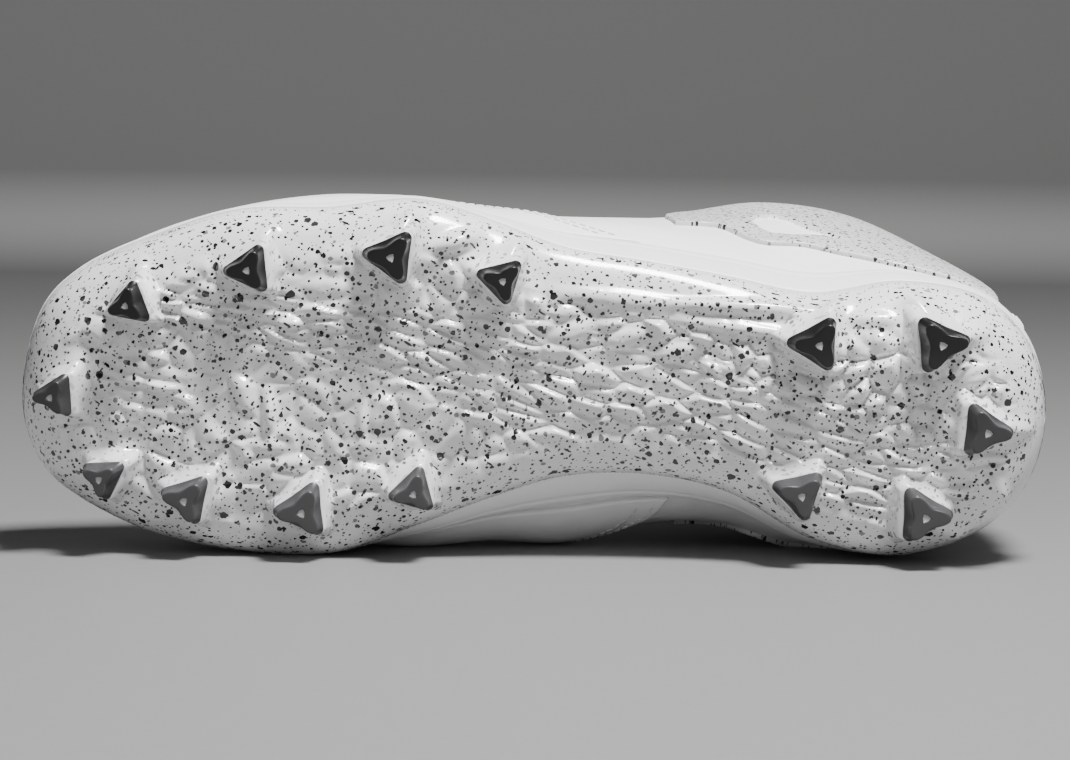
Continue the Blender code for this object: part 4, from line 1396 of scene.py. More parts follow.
@dataclass
class Plate:
    """The speckled plate: a bowl with moulded relief and the white feet of its studs."""

    stations: int = 430
    rim_rows: int = 20
    middle_rows: int = 112
    foot_rows: int = 11
    foot_fall: float = 1.9
    foot_sink_mm: float = 0.15
    survey: int = 3000
    relief: Relief = Relief()
    shape: StudShape = StudShape()

    def station_places(self) -> Array:
        """Ring places of the stations, closer together where the edge turns."""
        place = np.linspace(0, SECTIONS, self.survey)
        inner, outer = LAST.edge(place), LAST.edge(RING - place)
        middle = np.linalg.norm(np.diff((inner + outer) / 2, axis=0), axis=1)
        sides = np.linalg.norm(np.diff(inner, axis=0), axis=1)
        travelled = np.concatenate([[0], np.cumsum(np.maximum(middle, 0.5 * sides))])
        return np.interp(np.linspace(0, travelled[-1], self.stations), travelled, place)

    def plan(self) -> Pair:
        """Lays out the plate's grid in plan.

        Returns:
            Points on the edge's level, and each one's share across, from -1 to 1.
        """
        place = self.station_places()
        inner, outer = LAST.edge(place), LAST.edge(RING - place)
        half = np.linalg.norm((outer - inner)[:, :2], axis=1) / 2
        turn = np.linspace(0, math.pi / 2, self.rim_rows)
        bowl = np.minimum(LAST.bowl_width, 0.6 * half)[:, None] * (1 - np.cos(turn))
        rim = 1 - bowl / np.maximum(half, 1e-6)[:, None]
        share = np.linspace(-1, 1, self.middle_rows + 2)[1:-1] * rim[:, -1:]
        across = np.concatenate([-rim, share, rim[:, ::-1]], 1)
        middle = (inner + outer)[:, None] / 2
        return middle + (outer - inner)[:, None] / 2 * across[..., None], across

    def smooth(self, x: Array, y: Array) -> Pair:
        """Measures the smooth bowl, a quarter round that climbs to the rim.

        Args:
            x: Distances from the heel.
            y: Distances across.

        Returns:
            Heights, and the distance of each place to the edge.
        """
        gap, rim, _ = LAST.rim_gap(x, y)
        near = np.clip(gap / LAST.bowl_width, 0, 1)
        raised = 1 - np.sqrt(np.clip(1 - (1 - near) ** 2, 0, 1))
        floor = LAST.bottom_up(x)
        return floor + (rim - floor) * raised, gap

    def outside(self) -> Pair:
        """Finds the plate's outside with its relief.

        Returns:
            The grid of points, and the distance of each to the edge.
        """
        points, across = self.plan()
        height, gap = self.smooth(points[..., 0], points[..., 1])
        gap = np.where(np.abs(across) > 1 - 1e-9, 0, gap)
        points[..., 2] = np.where(gap > 0, height, points[..., 2])
        out = unit(np.cross(np.gradient(points, axis=0), np.gradient(points, axis=1)))
        out[[0, -1]] = out[[1, -2]]
        out *= np.where(out[..., 2:] > 0, -1, 1)
        relief = self.relief.height_mm(points[..., 0] / MM, points[..., 1] / MM, gap / MM)
        return points + out * (relief * smoothstep(gap, 0, 2 * MM) * MM)[..., None], gap

    def foot(self, stud: Stud) -> Array:
        """The white foot of one stud, which runs out flush into the relief.

        Args:
            stud: The stud.

        Returns:
            Rings of points from the cap to the plate.
        """
        _, _, _, up = self.shape.axes(stud)
        top = self.shape.cap_height + LAST.gap * 0.5
        full = LAST.stud_height - top
        rings = [self.shape.ring(stud, 0, top, 0.5), self.shape.ring(stud, self.shape.draft, top)]
        for share in np.linspace(0, 1, self.foot_rows)[1:]:
            flare = self.shape.foot_flare * share
            ring = self.shape.ring(stud, self.shape.draft + flare, LAST.stud_height)
            smooth, gap = self.smooth(ring[:, 0], ring[:, 1])
            relief = self.relief.height_mm(ring[:, 0] / MM, ring[:, 1] / MM, gap / MM) * MM
            steep = (1 - share) ** self.foot_fall
            height = full * steep + relief * (1 - steep) - self.foot_sink_mm * MM * share
            ring[:, 2] = np.where(gap > 0, smooth, ring[:, 2])
            rings.append(ring - up * height[:, None])
        return np.array(rings)

    def build(self) -> Piece:
        """Makes the plate with its feet as one piece."""
        grid, gap = self.outside()
        rows, columns = grid.shape[:2]
        place = self.station_places()
        lips = [LAST.edge_inset(side, LAST.plate_lip) for side in (place, RING - place)]
        full = np.concatenate([lips[0][:, None], grid, lips[1][:, None]], 1)
        margin = np.concatenate([np.zeros((rows, 1)), gap, np.zeros((rows, 1))], 1)
        points, plans = [full.reshape(-1, 3)], [self.flat(full)]
        quads = [grid_faces(rows, columns + 2)]
        speckle = [self.speckle(full, margin).ravel()]
        start = len(points[0])
        for stud in STUDS:
            foot = self.foot(stud)
            quads.append(grid_faces(len(foot), self.shape.points, True)[:, ::-1] + start)
            points.append(foot.reshape(-1, 3))
            away = unit(foot[..., :2] - foot[:1, :, :2].mean(1, keepdims=True))
            climb = (foot[-1:, :, 2] - foot[..., 2])[..., None]
            plans.append(((foot[..., :2] - away * climb * 0.5) / MM).reshape(-1, 2))
            speckle.append(np.repeat(np.linspace(0.0, 1.0, len(foot)) ** 0.5, self.shape.points))
            start += len(points[-1])
        mesh = Builder.mesh("moulded_plate", np.concatenate(points), np.concatenate(quads))
        Builder.paint(mesh, "speckle", np.concatenate(speckle))
        Builder.spread(mesh, np.concatenate(plans))
        Builder.clean(mesh)
        mesh.flip_normals()
        return Builder.add(mesh, [PLATE], Slot.PLATE, ["plate"], 75.0)

    def flat(self, points: Array) -> Array:
        """Flat places for the speckle, drawn out past the edge where the bowl climbs.

        Args:
            points: Points of the plate.

        Returns:
            Two numbers for each point, in mm.
        """
        _, _, away = LAST.rim_gap(points[..., 0], points[..., 1])
        climb = np.clip(points[..., 2] - LAST.bottom_up(points[..., 0]), 0, None)
        return ((points[..., :2] + away * climb[..., None] * 0.7) / MM).reshape(-1, 2)

    def speckle(self, points: Array, gap: Array) -> Array:
        """Share of speckle: none on the thin rim, fading out round the back of the heel.

        Args:
            points: Points of the plate.
            gap: Distance of each to the edge.

        Returns:
            Shares from 0 to 1.
        """
        x, y = points[..., 0], points[..., 1]
        thin = smoothstep(gap, 0.0, 0.4 * MM)
        back = (1 - smoothstep(x, 0.004, 0.050)) * (1 - smoothstep(y, -0.020, 0.002))
        heel = smoothstep(gap, 3.0 * MM, 6.0 * MM)
        return thin * (1 - back + back * heel)


@dataclass
class Cap:
    """The dark wear tip of one stud, with a small pale mark sunk in its middle."""

    stud: Stud
    shape: StudShape = StudShape()
    mark_scale: float = 0.10
    mark_round: float = 0.0006
    mark_depth: float = 0.0003
    edge: float = 0.0005

    def build(self) -> Piece:
        """Makes the cap as one piece."""
        shape, stud = self.shape, self.stud
        # How far each ring stands outside the tip's outline, its height and its scale.
        rows = (
            (0.00001, self.mark_depth, 0.01),
            (self.mark_round, self.mark_depth, self.mark_scale),
            (self.mark_round, 0.0, self.mark_scale + 0.03),
            (self.mark_round, 0.0, self.mark_scale + 0.06),
            (-self.edge * 2.0, 0.0, 1.0),
            (-self.edge, 0.00002, 1.0),
            (-self.edge * 0.5, 0.00012, 1.0),
            (-self.edge * 0.12, 0.00038, 1.0),
            (0.0, 0.0008, 1.0),
            (shape.draft * 0.25, shape.cap_height * 0.45, 1.0),
            (shape.draft * 0.60, shape.cap_height * 0.80, 1.0),
            (shape.draft, shape.cap_height * 0.97, 1.0),
            (shape.draft * 0.9, shape.cap_height, 1.0),
            (0.0, shape.cap_height, 0.5),
        )
        rings = np.array([shape.ring(stud, grow, up_by, scale) for grow, up_by, scale in rows])
        quads = grid_faces(len(rings), shape.points, True)
        mesh = Builder.mesh(f"tip_{stud.name}", rings, quads)
        numbers = np.zeros(len(quads), np.int32)
        numbers[: shape.points] = 1
        mesh.polygons.foreach_set("material_index", numbers)
        mesh.flip_normals()
        return Builder.add(mesh, [CAP, MARK], Slot.CAP, [f"cap_{stud.name}"], 60.0)


@dataclass
class Midsole:
    """White foam that laps over the plate's lip and cups the foot of the upper."""

    places: int = 520
    wall: float = 0.0028
    wall_rise: float = 0.17
    bulge: float = 0.0007
    groove: float = 0.00045
    groove_at: float = 0.70
    groove_half: float = 0.045
    crest_round: float = 0.0009
    wall_rows: int = 26

    def build(self) -> Piece:
        """Makes the foam as one piece."""
        place = ring_places(self.places)
        lip, under = LAST.edge(place), LAST.edge_inset(place, LAST.plate_lip)
        lip[:, 2] += LAST.gap
        under[:, 2] += LAST.gap
        crest = LAST.offset(place, self.wall_rise, LAST.gap + self.wall)
        inner = LAST.offset(place, self.wall_rise, LAST.gap)
        out = LAST.normal(place, self.wall_rise * 0.5)
        rows = [under, lip - out * 0.0003]
        for share in np.linspace(0.03, 0.94, self.wall_rows):
            dent = self.groove * math.exp(-(((share - self.groove_at) / self.groove_half) ** 2))
            push = self.bulge * math.sin(math.pi * share) - dent
            rows.append(lip + (crest - lip) * share + out * push)
        up = unit(crest - lip)
        for angle in np.linspace(0.15, 0.85, 6) * math.pi:
            half = (crest - inner) / 2
            rise = math.sin(angle) * self.crest_round - self.crest_round
            rows.append(inner + half * (1 + math.cos(angle)) + up * rise)
        rows.append(LAST.offset(place, self.wall_rise * 0.4, LAST.gap))
        base = LAST.edge_inset(place, LAST.base_inset)
        across = LAST.edge_inset(RING - place, LAST.base_inset)
        for part in (1.0, 0.5, 0.0):
            ring = (base + across) / 2 + (base - across) / 2 * part
            ring[:, 2] = LAST.floor_up(ring[:, 0])
            rows.append(ring)
        quads = grid_faces(len(rows), self.places, True)
        mesh = Builder.mesh("foam_midsole", np.array(rows), quads)
        Builder.clean(mesh)
        return Builder.add(mesh, [FOAM], Slot.FOAM, ["midsole"])


@dataclass
class Insole:
    """Loose footbed with a raised, rounded rim."""

    places: int = 240
    inset: float = 0.0092
    thickness: float = 0.004
    cup: float = 0.0022

    def build(self) -> Piece:
        """Makes the footbed as one piece."""
        place = ring_places(self.places)
        rim, across = LAST.edge_inset(place, self.inset), LAST.edge_inset(RING - place, self.inset)
        rows = []
        top = (1.0, 0.985, 0.96, 0.92, 0.86, 0.78, 0.6, 0.4, 0.2, 0.0)
        for share, high in [(0.0, 0.0), (1.0, 0.0), *((share, 1.0) for share in top)]:
            ring = (rim + across) / 2 + (rim - across) / 2 * share
            hollow = 1 - smoothstep(share, 0.7, 0.97)
            lift = LAST.gap + high * (self.thickness - self.cup * 0.5 * hollow)
            ring[:, 2] = LAST.floor_up(ring[:, 0]) + lift
            rows.append(ring)
        mesh = Builder.mesh("footbed", np.array(rows), grid_faces(len(rows), self.places, True))
        Builder.clean(mesh)
        piece = Builder.add(mesh, [LINING], Slot.LINING, ["insole"])
        return piece


class Crease(NamedTuple):
    """A soft trough between two places of the upright frame, in mm."""

    start: Triple
    end: Triple
    depth: float
    width: float


CREASES = (
    Crease((206, -40, 58), (198, 34, 64), 0.9, 4.0),
    Crease((216, -38, 52), (211, 34, 58), 0.6, 3.4),
    Crease((226, 34, 48), (222, -10, 62), 0.45, 3.2),
    Crease((150, 46, 60), (118, 40, 84), 0.7, 6.0),
    Crease((140, -46, 60), (112, -44, 84), 0.8, 6.0),
    Crease((92, 40, 52), (62, 44, 74), 0.8, 7.0),
    Crease((96, -50, 56), (60, -54, 78), 0.8, 7.0),
    Crease((20, 24, 84), (8, -6, 90), 0.7, 5.0),
    Crease((28, -44, 88), (12, -26, 94), 0.7, 5.0),
)


@dataclass(frozen=True)
class Creases:
    """Soft troughs and ridges pressed into the leather."""

    table: tuple[Crease, ...] = CREASES
    ridge_share: float = 0.45
    ridge_away: float = 1.9

    def depth_mm(self, points: Array) -> Array:
        """Adds up the creases: a bell-shaped trough with a lower ridge beside it.

        Args:
            points: Points of the last.

        Returns:
            Depths in mm, negative on the ridges.
        """
        depth = np.zeros(points.shape[:-1])
        for crease in self.table:
            start, end = np.array([crease.start, crease.end]) * MM
            run = end - start
            share = np.clip(((points - start) @ run) / (run @ run), 0, 1)
            wander = np.linalg.norm(points - start - share[..., None] * run, axis=-1) / MM
            wide = crease.width * (0.6 + 0.4 * np.sin(math.pi * share))
            fade = np.sin(math.pi * np.clip(share * 0.9 + 0.05, 0, 1))
            trough = np.exp(-((wander / wide) ** 2))
            ridge = np.exp(-(((wander - self.ridge_away * wide) / wide) ** 2))
            depth += crease.depth * fade * (trough - self.ridge_share * ridge)
        return depth

    def press(self, points: Array, places: Array, rises: Array) -> Array:
        """Presses the creases into leather, faded out towards the sole and the top line.

        Args:
            points: Points on the leather.
            places: Their ring places.
            rises: Their heights from 0 to 1.

        Returns:
            The moved points.
        """
        fade = smoothstep(rises, 0.18, 0.3), 1 - smoothstep(rises, 0.9, 0.99)
        depth = self.depth_mm(points) * fade[0] * fade[1]
        return points - LAST.normal(places, rises) * (depth * MM)[..., None]


CREASED = Creases()
EYELET_HOLE = 0.0023
EYELET_PAIRS = 6
TUCK = 0.0001


@dataclass
class Upper:
    """The white leather shell: hollow, lined, and open at throat and collar."""

    places: int = 600
    rows: int = 84
    lining_rows: int = 26
    collar_roll: float = 0.045
    padded_wall: float = 0.0064
    hole_margin: float = 0.0008

    def rises(self) -> Array:
        """Heights of the rows, closer together towards the rolled edge."""
        plain = np.linspace(0, 1 - self.collar_roll, self.rows)
        roll = np.array([0.75, 0.5, 0.3, 0.15, 0.06, 0.015, 0])
        return np.concatenate([plain, 1 - self.collar_roll * roll])

    def sheet(self, rises: Array, inside: bool) -> Array:
        """One face of the wall, rolled over towards the open edges.

        Args:
            rises: Heights of the rows.
            inside: Whether it is the lining's face.

        Returns:
            The grid of points.
        """
        places, heights = np.meshgrid(ring_places(self.places), rises)
        wall = LAST.wall_at(places, heights)
        share = np.clip((heights - 1 + self.collar_roll) / self.collar_roll, 0, 1)
        full = wall / self.padded_wall
        reach = np.clip(share - (1 - full), 0, None) / full
        _, open_share = LAST.top_line(places)
        turn = (1 - np.sqrt(np.clip(1 - reach**2, 0, 1))) * open_share[..., 0]
        depth = wall * turn / 2
        if inside:
            depth = wall - depth
        return CREASED.press(LAST.offset(places, heights, -depth), places, heights)

    def build(self, eyelets: Array) -> Piece:
        """Makes the shell as one piece.

        Args:
            eyelets: Middles of the eyelets on the last.

        Returns:
            The piece.
        """
        rises = self.rises()
        plain = np.linspace(0, 1 - self.collar_roll, self.lining_rows)
        inner_rises = np.concatenate([plain, rises[self.rows :]])
        outer, inner = self.sheet(rises, False), self.sheet(inner_rises, True)
        grid = np.concatenate([outer, inner[::-1]])
        quads = grid_faces(len(grid), self.places, True)
        row, column = np.divmod(np.arange(len(quads)), self.places)
        closed = LAST.section_of(column * RING / self.places) < LAST.throat_start
        keep = ~((row == len(rises) - 1) & closed)
        middles = grid.reshape(-1, 3)[quads].mean(1)
        for eyelet in eyelets:
            keep &= np.linalg.norm(middles - eyelet, axis=1) > EYELET_HOLE + self.hole_margin
        lined = row > len(rises)
        mesh = Builder.mesh("leather_shell", grid, quads[keep])
        mesh.polygons.foreach_set("material_index", lined[keep].astype(np.int32))
        Builder.clean(mesh, 1e-5)
        return Builder.add(mesh, [LEATHER, LINING], Slot.LEATHER, ["upper"], 65.0)


class Line(NamedTuple):
    """Lower and upper line of a panel at a section counted from the toe."""

    section: float
    low: float
    high: float


class GuardEnd(NamedTuple):
    """Section that the toe guard reaches at a rise, on either side."""

    rise: float
    outer: float
    inner: float


WING = (
    Line(9.50, 0.385, 0.50),
    Line(10.0, 0.400, 0.66),
    Line(10.5, 0.310, 0.80),
    Line(11.0, 0.318, 0.88),
    Line(11.5, 0.290, 0.91),
    Line(12.0, 0.260, 0.92),
    Line(12.5, 0.253, 0.92),
    Line(13.0, 0.250, 0.90),
    Line(13.5, 0.250, 0.87),
)
WINDOW = (
    Line(10.54, 0.452, 0.453),
    Line(10.67, 0.400, 0.482),
    Line(10.88, 0.393, 0.497),
    Line(11.16, 0.395, 0.453),
    Line(11.36, 0.392, 0.420),
    Line(11.58, 0.374, 0.376),
)
GUARD_ENDS = (
    GuardEnd(0.19, 9.0, 9.3),
    GuardEnd(0.27, 8.2, 9.1),
    GuardEnd(0.38, 7.2, 8.5),
    GuardEnd(0.50, 6.2, 8.0),
)
COUNTER = (
    Line(14.0, 0.19, 0.44),
    Line(14.5, 0.19, 0.49),
    Line(15.0, 0.19, 0.52),
    Line(15.5, 0.19, 0.49),
    Line(16.0, 0.19, 0.44),
)
STAY = (Line(5.55, 0.75, 0.985), Line(7.5, 0.75, 0.985), Line(10.0, 0.75, 0.985))
SECTION_MM = 20.5
RISE_MM = 118.0


def fair(stops: Sequence[float], values: Sequence[float], at: Array) -> Array:
    """Reads a smooth line through a table of values.

    Args:
        stops: Rising places of the values.
        values: One value for each stop.
        at: Places to read.

    Returns:
        The line's values.
    """
    fine = open_spline(np.stack([stops, values], -1).astype(float), 40 * len(stops))
    return np.interp(at, fine[:, 0], fine[:, 1])


@dataclass
class Panel:
    """A panel sewn on the upper, with its edges turned down to it."""

    name: str
    node: str
    finish: Finish
    slot: Slot
    columns: int = 120
    rows: int = 30
    size_mm: tuple[float, float] = (100.0, 40.0)
    edge_mm: float = 0.9
    window_up: float = 0.0003
    hole_margin: float = 0.0006

    def shares(self, count: int, length_mm: float) -> Pair:
        """Shares across the panel with close rows at both edges.

        Args:
            count: Number of rows between the edges.
            length_mm: Length of that way across.

        Returns:
            The shares, and the distance of each from its nearest edge in mm.
        """
        edge = np.array([0.0, 0.06, 0.2, 0.4, 0.7, 1.0]) * self.edge_mm / length_mm
        inner = np.linspace(edge[-1] * 1.6, 1 - edge[-1] * 1.6, count)
        shares = np.concatenate([edge, inner, 1 - edge[::-1]])
        return shares, np.minimum(shares, 1 - shares) * length_mm

    def grid(self, across: Array, along: Array) -> Pair:
        """Places the panel on the last.

        Args:
            across: Shares along the shoe.
            along: Shares up it.

        Returns:
            Ring places and rises.
        """
        raise NotImplementedError

    def sunk_mm(self, places: Array, rises: Array) -> Array:
        """Measures how far outside the panel's window places are.

        Args:
            places: Ring places.
            rises: Heights from 0 to 1.

        Returns:
            Distances in mm, negative within the window.
        """
        return np.full(places.shape, 9.0)

    def build(self, eyelets: Array | None = None) -> Piece:
        """Makes the panel as one piece.

        Args:
            eyelets: Middles of the eyelets to leave open, if it has any.

        Returns:
            The piece.
        """
        share_u, edge_u = self.shares(self.columns, self.size_mm[0])
        share_v, edge_v = self.shares(self.rows, self.size_mm[1])
        places, rises = self.grid(*np.meshgrid(share_u, share_v))
        turned = np.clip(np.minimum(*np.meshgrid(edge_u, edge_v)) / self.edge_mm, 0, 1)
        height = np.sqrt(np.clip(1 - (1 - turned) ** 2, 0, 1))
        sunk = self.sunk_mm(places, rises)
        solid = smoothstep(sunk, -0.2, 0.9)
        out = ((LAST.panel_top + TUCK) * height - TUCK) * solid + self.window_up * (1 - solid)
        points = CREASED.press(LAST.offset(places, rises, out), places, rises)
        quads = grid_faces(*places.shape)
        flat = points.reshape(-1, 3)
        if eyelets is not None:
            middles = flat[quads].mean(1)
            gaps = np.linalg.norm(middles[:, None] - eyelets[None], axis=-1).min(1)
            quads = quads[gaps > EYELET_HOLE + self.hole_margin]
        if places[0, 0] > places[0, -1]:
            quads = quads[:, ::-1]
        mesh = Builder.mesh(self.name, flat, quads)
        Builder.paint(mesh, "speckle", np.ones(places.shape))
        Builder.spread(mesh, np.stack([places * SECTION_MM, rises * RISE_MM], -1))
        windowed = sunk.reshape(-1)[quads].mean(1) < 0.15
        mesh.polygons.foreach_set("material_index", windowed.astype(np.int32))
        return Builder.add(mesh, [self.finish, LEATHER], self.slot, [self.node], 60.0)


@dataclass
class LinedPanel(Panel):
    """A panel between two lines of rises, with square ends."""

    lines: tuple[Line, ...] = ()
    outer: bool = False
    window: tuple[Line, ...] = ()

    def grid(self, across: Array, along: Array) -> Pair:
        """Places and rises at shares over the panel."""
        stops, low, high = np.array(self.lines).T
        sections = stops[0] + (stops[-1] - stops[0]) * across
        rises = fair(stops, low, sections) * (1 - along) + fair(stops, high, sections) * along
        return (RING - sections if self.outer else sections), rises

    def sunk_mm(self, places: Array, rises: Array) -> Array:
        """Distance outside the panel's window in mm, negative within it."""
        if not self.window:
            return super().sunk_mm(places, rises)
        stops, low, high = np.array(self.window).T
        sections = LAST.section_of(places)
        at = np.linspace(stops[0], stops[-1], 90)
        lower, upper = fair(stops, low, at), fair(stops, high, at)
        sides = np.concatenate([lower, upper]) * RISE_MM
        outline = np.stack([np.tile(at, 2) * SECTION_MM, sides], -1)
        spot = np.stack([sections * SECTION_MM, rises * RISE_MM], -1)
        gap = np.full(places.shape, 99.0)
        for point in outline:
            gap = np.minimum(gap, np.hypot(spot[..., 0] - point[0], spot[..., 1] - point[1]))
        over = np.interp(sections, at, lower, 9, 9) < rises
        under = np.interp(sections, at, upper, -9, -9) > rises
        return np.where(over & under, -gap, gap)


@dataclass
class GuardPanel(Panel):
    """The toe guard: from one slanted end round the toe to the other."""

    ends: tuple[GuardEnd, ...] = GUARD_ENDS

    def grid(self, across: Array, along: Array) -> Pair:
        """Places and rises at shares over the panel."""
        stops, outer, inner = np.array(self.ends).T
        rises = stops[0] + (stops[-1] - stops[0]) * along
        far, near = -fair(stops, outer, rises), fair(stops, inner, rises)
        return far + (near - far) * across, rises


def throat_section(number: int, count: int = EYELET_PAIRS) -> float:
    """Section at which a pair of eyelets stands, counted from the toe."""
    first, last = LAST.throat_start + 1.1, LAST.collar_front - 0.3
    return first + (last - first) * number / (count - 1)


@dataclass
class Eyelets:
    """Rolled rings round the punched holes of the eyestays."""

    count: int = EYELET_PAIRS
    rise: float = 0.895
    hole: float = 0.0020
    tube: float = 0.0007
    round_steps: int = 28
    tube_steps: int = 10

    def frame(self, number: int, outer: bool) -> Frame:
        """Finds how an eyelet sits on its eyestay.

        Args:
            number: Its number, from the toe.
            outer: Whether it is on the outer side.

        Returns:
            Its middle, and its ways out, along and across.
        """
        section = throat_section(number, self.count)
        place = np.array(RING - section if outer else section)
        normal = LAST.normal(place, self.rise)
        point = LAST.surface(place, self.rise) + normal * LAST.panel_top
        along = LAST.surface(place + 0.01, self.rise) - LAST.surface(place, self.rise)
        along = unit(along - normal * (along @ normal))
        return point, normal, along, np.cross(normal, along)

    def middles(self) -> Array:
        """Middles of all eyelets, six for each side."""
        numbers = range(self.count)
        return np.array([self.frame(k, outer)[0] for outer in (True, False) for k in numbers])

    def build(self) -> Piece:
        """Makes all rings as one piece: a flattened tube carried round each hole."""
        steps, sides = self.round_steps, self.tube_steps
        turn, section = once_round(steps)[None, :, None], once_round(sides)[:, None, None]
        wide = self.tube * 1.3
        first = np.stack([np.arange(steps), (np.arange(steps) + 1) % steps], -1)
        wrap = np.concatenate([first + steps * (sides - 1), first[:, ::-1]], 1)
        faces = np.concatenate([grid_faces(sides, steps, True), wrap])
        points, quads = [], []
        for outer in (True, False):
            for number in range(self.count):
                point, normal, along, across = self.frame(number, outer)
                radius = self.hole + wide + wide * np.cos(section)
                ring = point + (np.cos(turn) * along + np.sin(turn) * across) * radius
                ring = ring + normal * self.tube * (np.sin(section) - 0.25)
                quads.append(faces + steps * sides * len(points))
                points.append(ring.reshape(-1, 3))
        mesh = Builder.mesh("eyelet_rims", np.concatenate(points), np.concatenate(quads))
        Builder.clean(mesh, 0, outward=True)
        return Builder.add(mesh, [THREAD], Slot.LACE, [])


@dataclass
class Tongue:
    """Padded tongue under the throat, standing up past the collar."""

    thickness: float = 0.0045
    clearance: float = 0.0010
    crown: float = 0.003
    full_crown_width: float = 0.02
    front: tuple[float, float] = (0.05, 0.22)
    rise: float = 0.030
    lean: float = 0.10
    length_rows: int = 110
    width_rows: int = 44
    channel_rows: int = 22

    def strip(self, section: float) -> Array:
        """One row across the throat: under one edge, over the middle, under the other.

        Args:
            section: Section of the row, counted from the toe.

        Returns:
            Nine points.
        """
        rises = np.array([0.88, 0.94, 1.0])
        edges = []
        for place in (section, RING - section):
            places = np.full(3, place)
            depth = LAST.wall_at(places, rises) + self.clearance
            edges.append(LAST.offset(places, rises, -depth))
        left, right = edges
        ends = []
        for place in (section - 0.2, section + 0.2):
            edge, across = (LAST.surface(np.array(at), 1.0) for at in (place, RING - place))
            ends.append((edge + across) / 2)
        span = right[-1] - left[-1]
        wide = min(1.0, float(np.linalg.norm(span)) / self.full_crown_width)
        lift = unit(np.cross(span, ends[0] - ends[1])) * self.crown * wide
        bridge = [left[-1] + span * s + lift * 4 * s * (1 - s) for s in (0.25, 0.5, 0.75)]
        return np.concatenate([left, bridge, right[::-1]])

    def build(self) -> Piece:
        """Makes the tongue as one piece: a fair sheet, padded out between shallow channels."""
        sections = LAST.throat_start + np.concatenate([self.front, np.arange(1, 10) / 2])
        rows = np.array([self.strip(section) for section in sections])
        run = unit((rows[-1] - rows[-3]).mean(0))
        lean = np.array([self.lean, 0, 0])
        more = [rows[-1] + (run + lean * s) * self.rise * s for s in (0.35, 0.7, 1.0)]
        rows = np.concatenate([rows, more])
        narrow = np.ones(len(rows))
        narrow[-3:] = (0.97, 0.93, 0.84)
        middle = rows.mean(1, keepdims=True)
        rows = middle + (rows - middle) * narrow[:, None, None]
        count = self.length_rows
        fine = open_spline(np.swapaxes(open_spline(rows, count), 0, 1), self.width_rows)
        fine = np.swapaxes(fine, 0, 1)
        down = unit(np.cross(np.gradient(fine, axis=0), np.gradient(fine, axis=1)))
        down *= np.where(down[..., 2:] < 0, 1, -1)
        side = np.sin(np.linspace(0.0, math.pi, fine.shape[1])) ** 0.35
        row = np.arange(count)
        end = np.clip(np.minimum(row / 3, (count - 1 - row) / 5), 0, 1) ** 0.5
        from_channel = (row % self.channel_rows) - self.channel_rows // 2
        channel = 1 - 0.22 * np.exp(-((from_channel / 2.0) ** 2))
        thick = self.thickness * side[None] * (end * channel)[:, None]
        top = fine + down * ((self.thickness - thick) * 0.18)[..., None]
        under = top + down * thick[..., None]
        grid = np.concatenate([top, under[:, ::-1]], 1)
        mesh = Builder.mesh("padded_tongue", grid, grid_faces(count, grid.shape[1], True))
        Builder.clean(mesh, 1e-6, outward=True)
        piece = Builder.add(mesh, [LINING], Slot.LINING, ["tongue"], 70.0)
        return piece


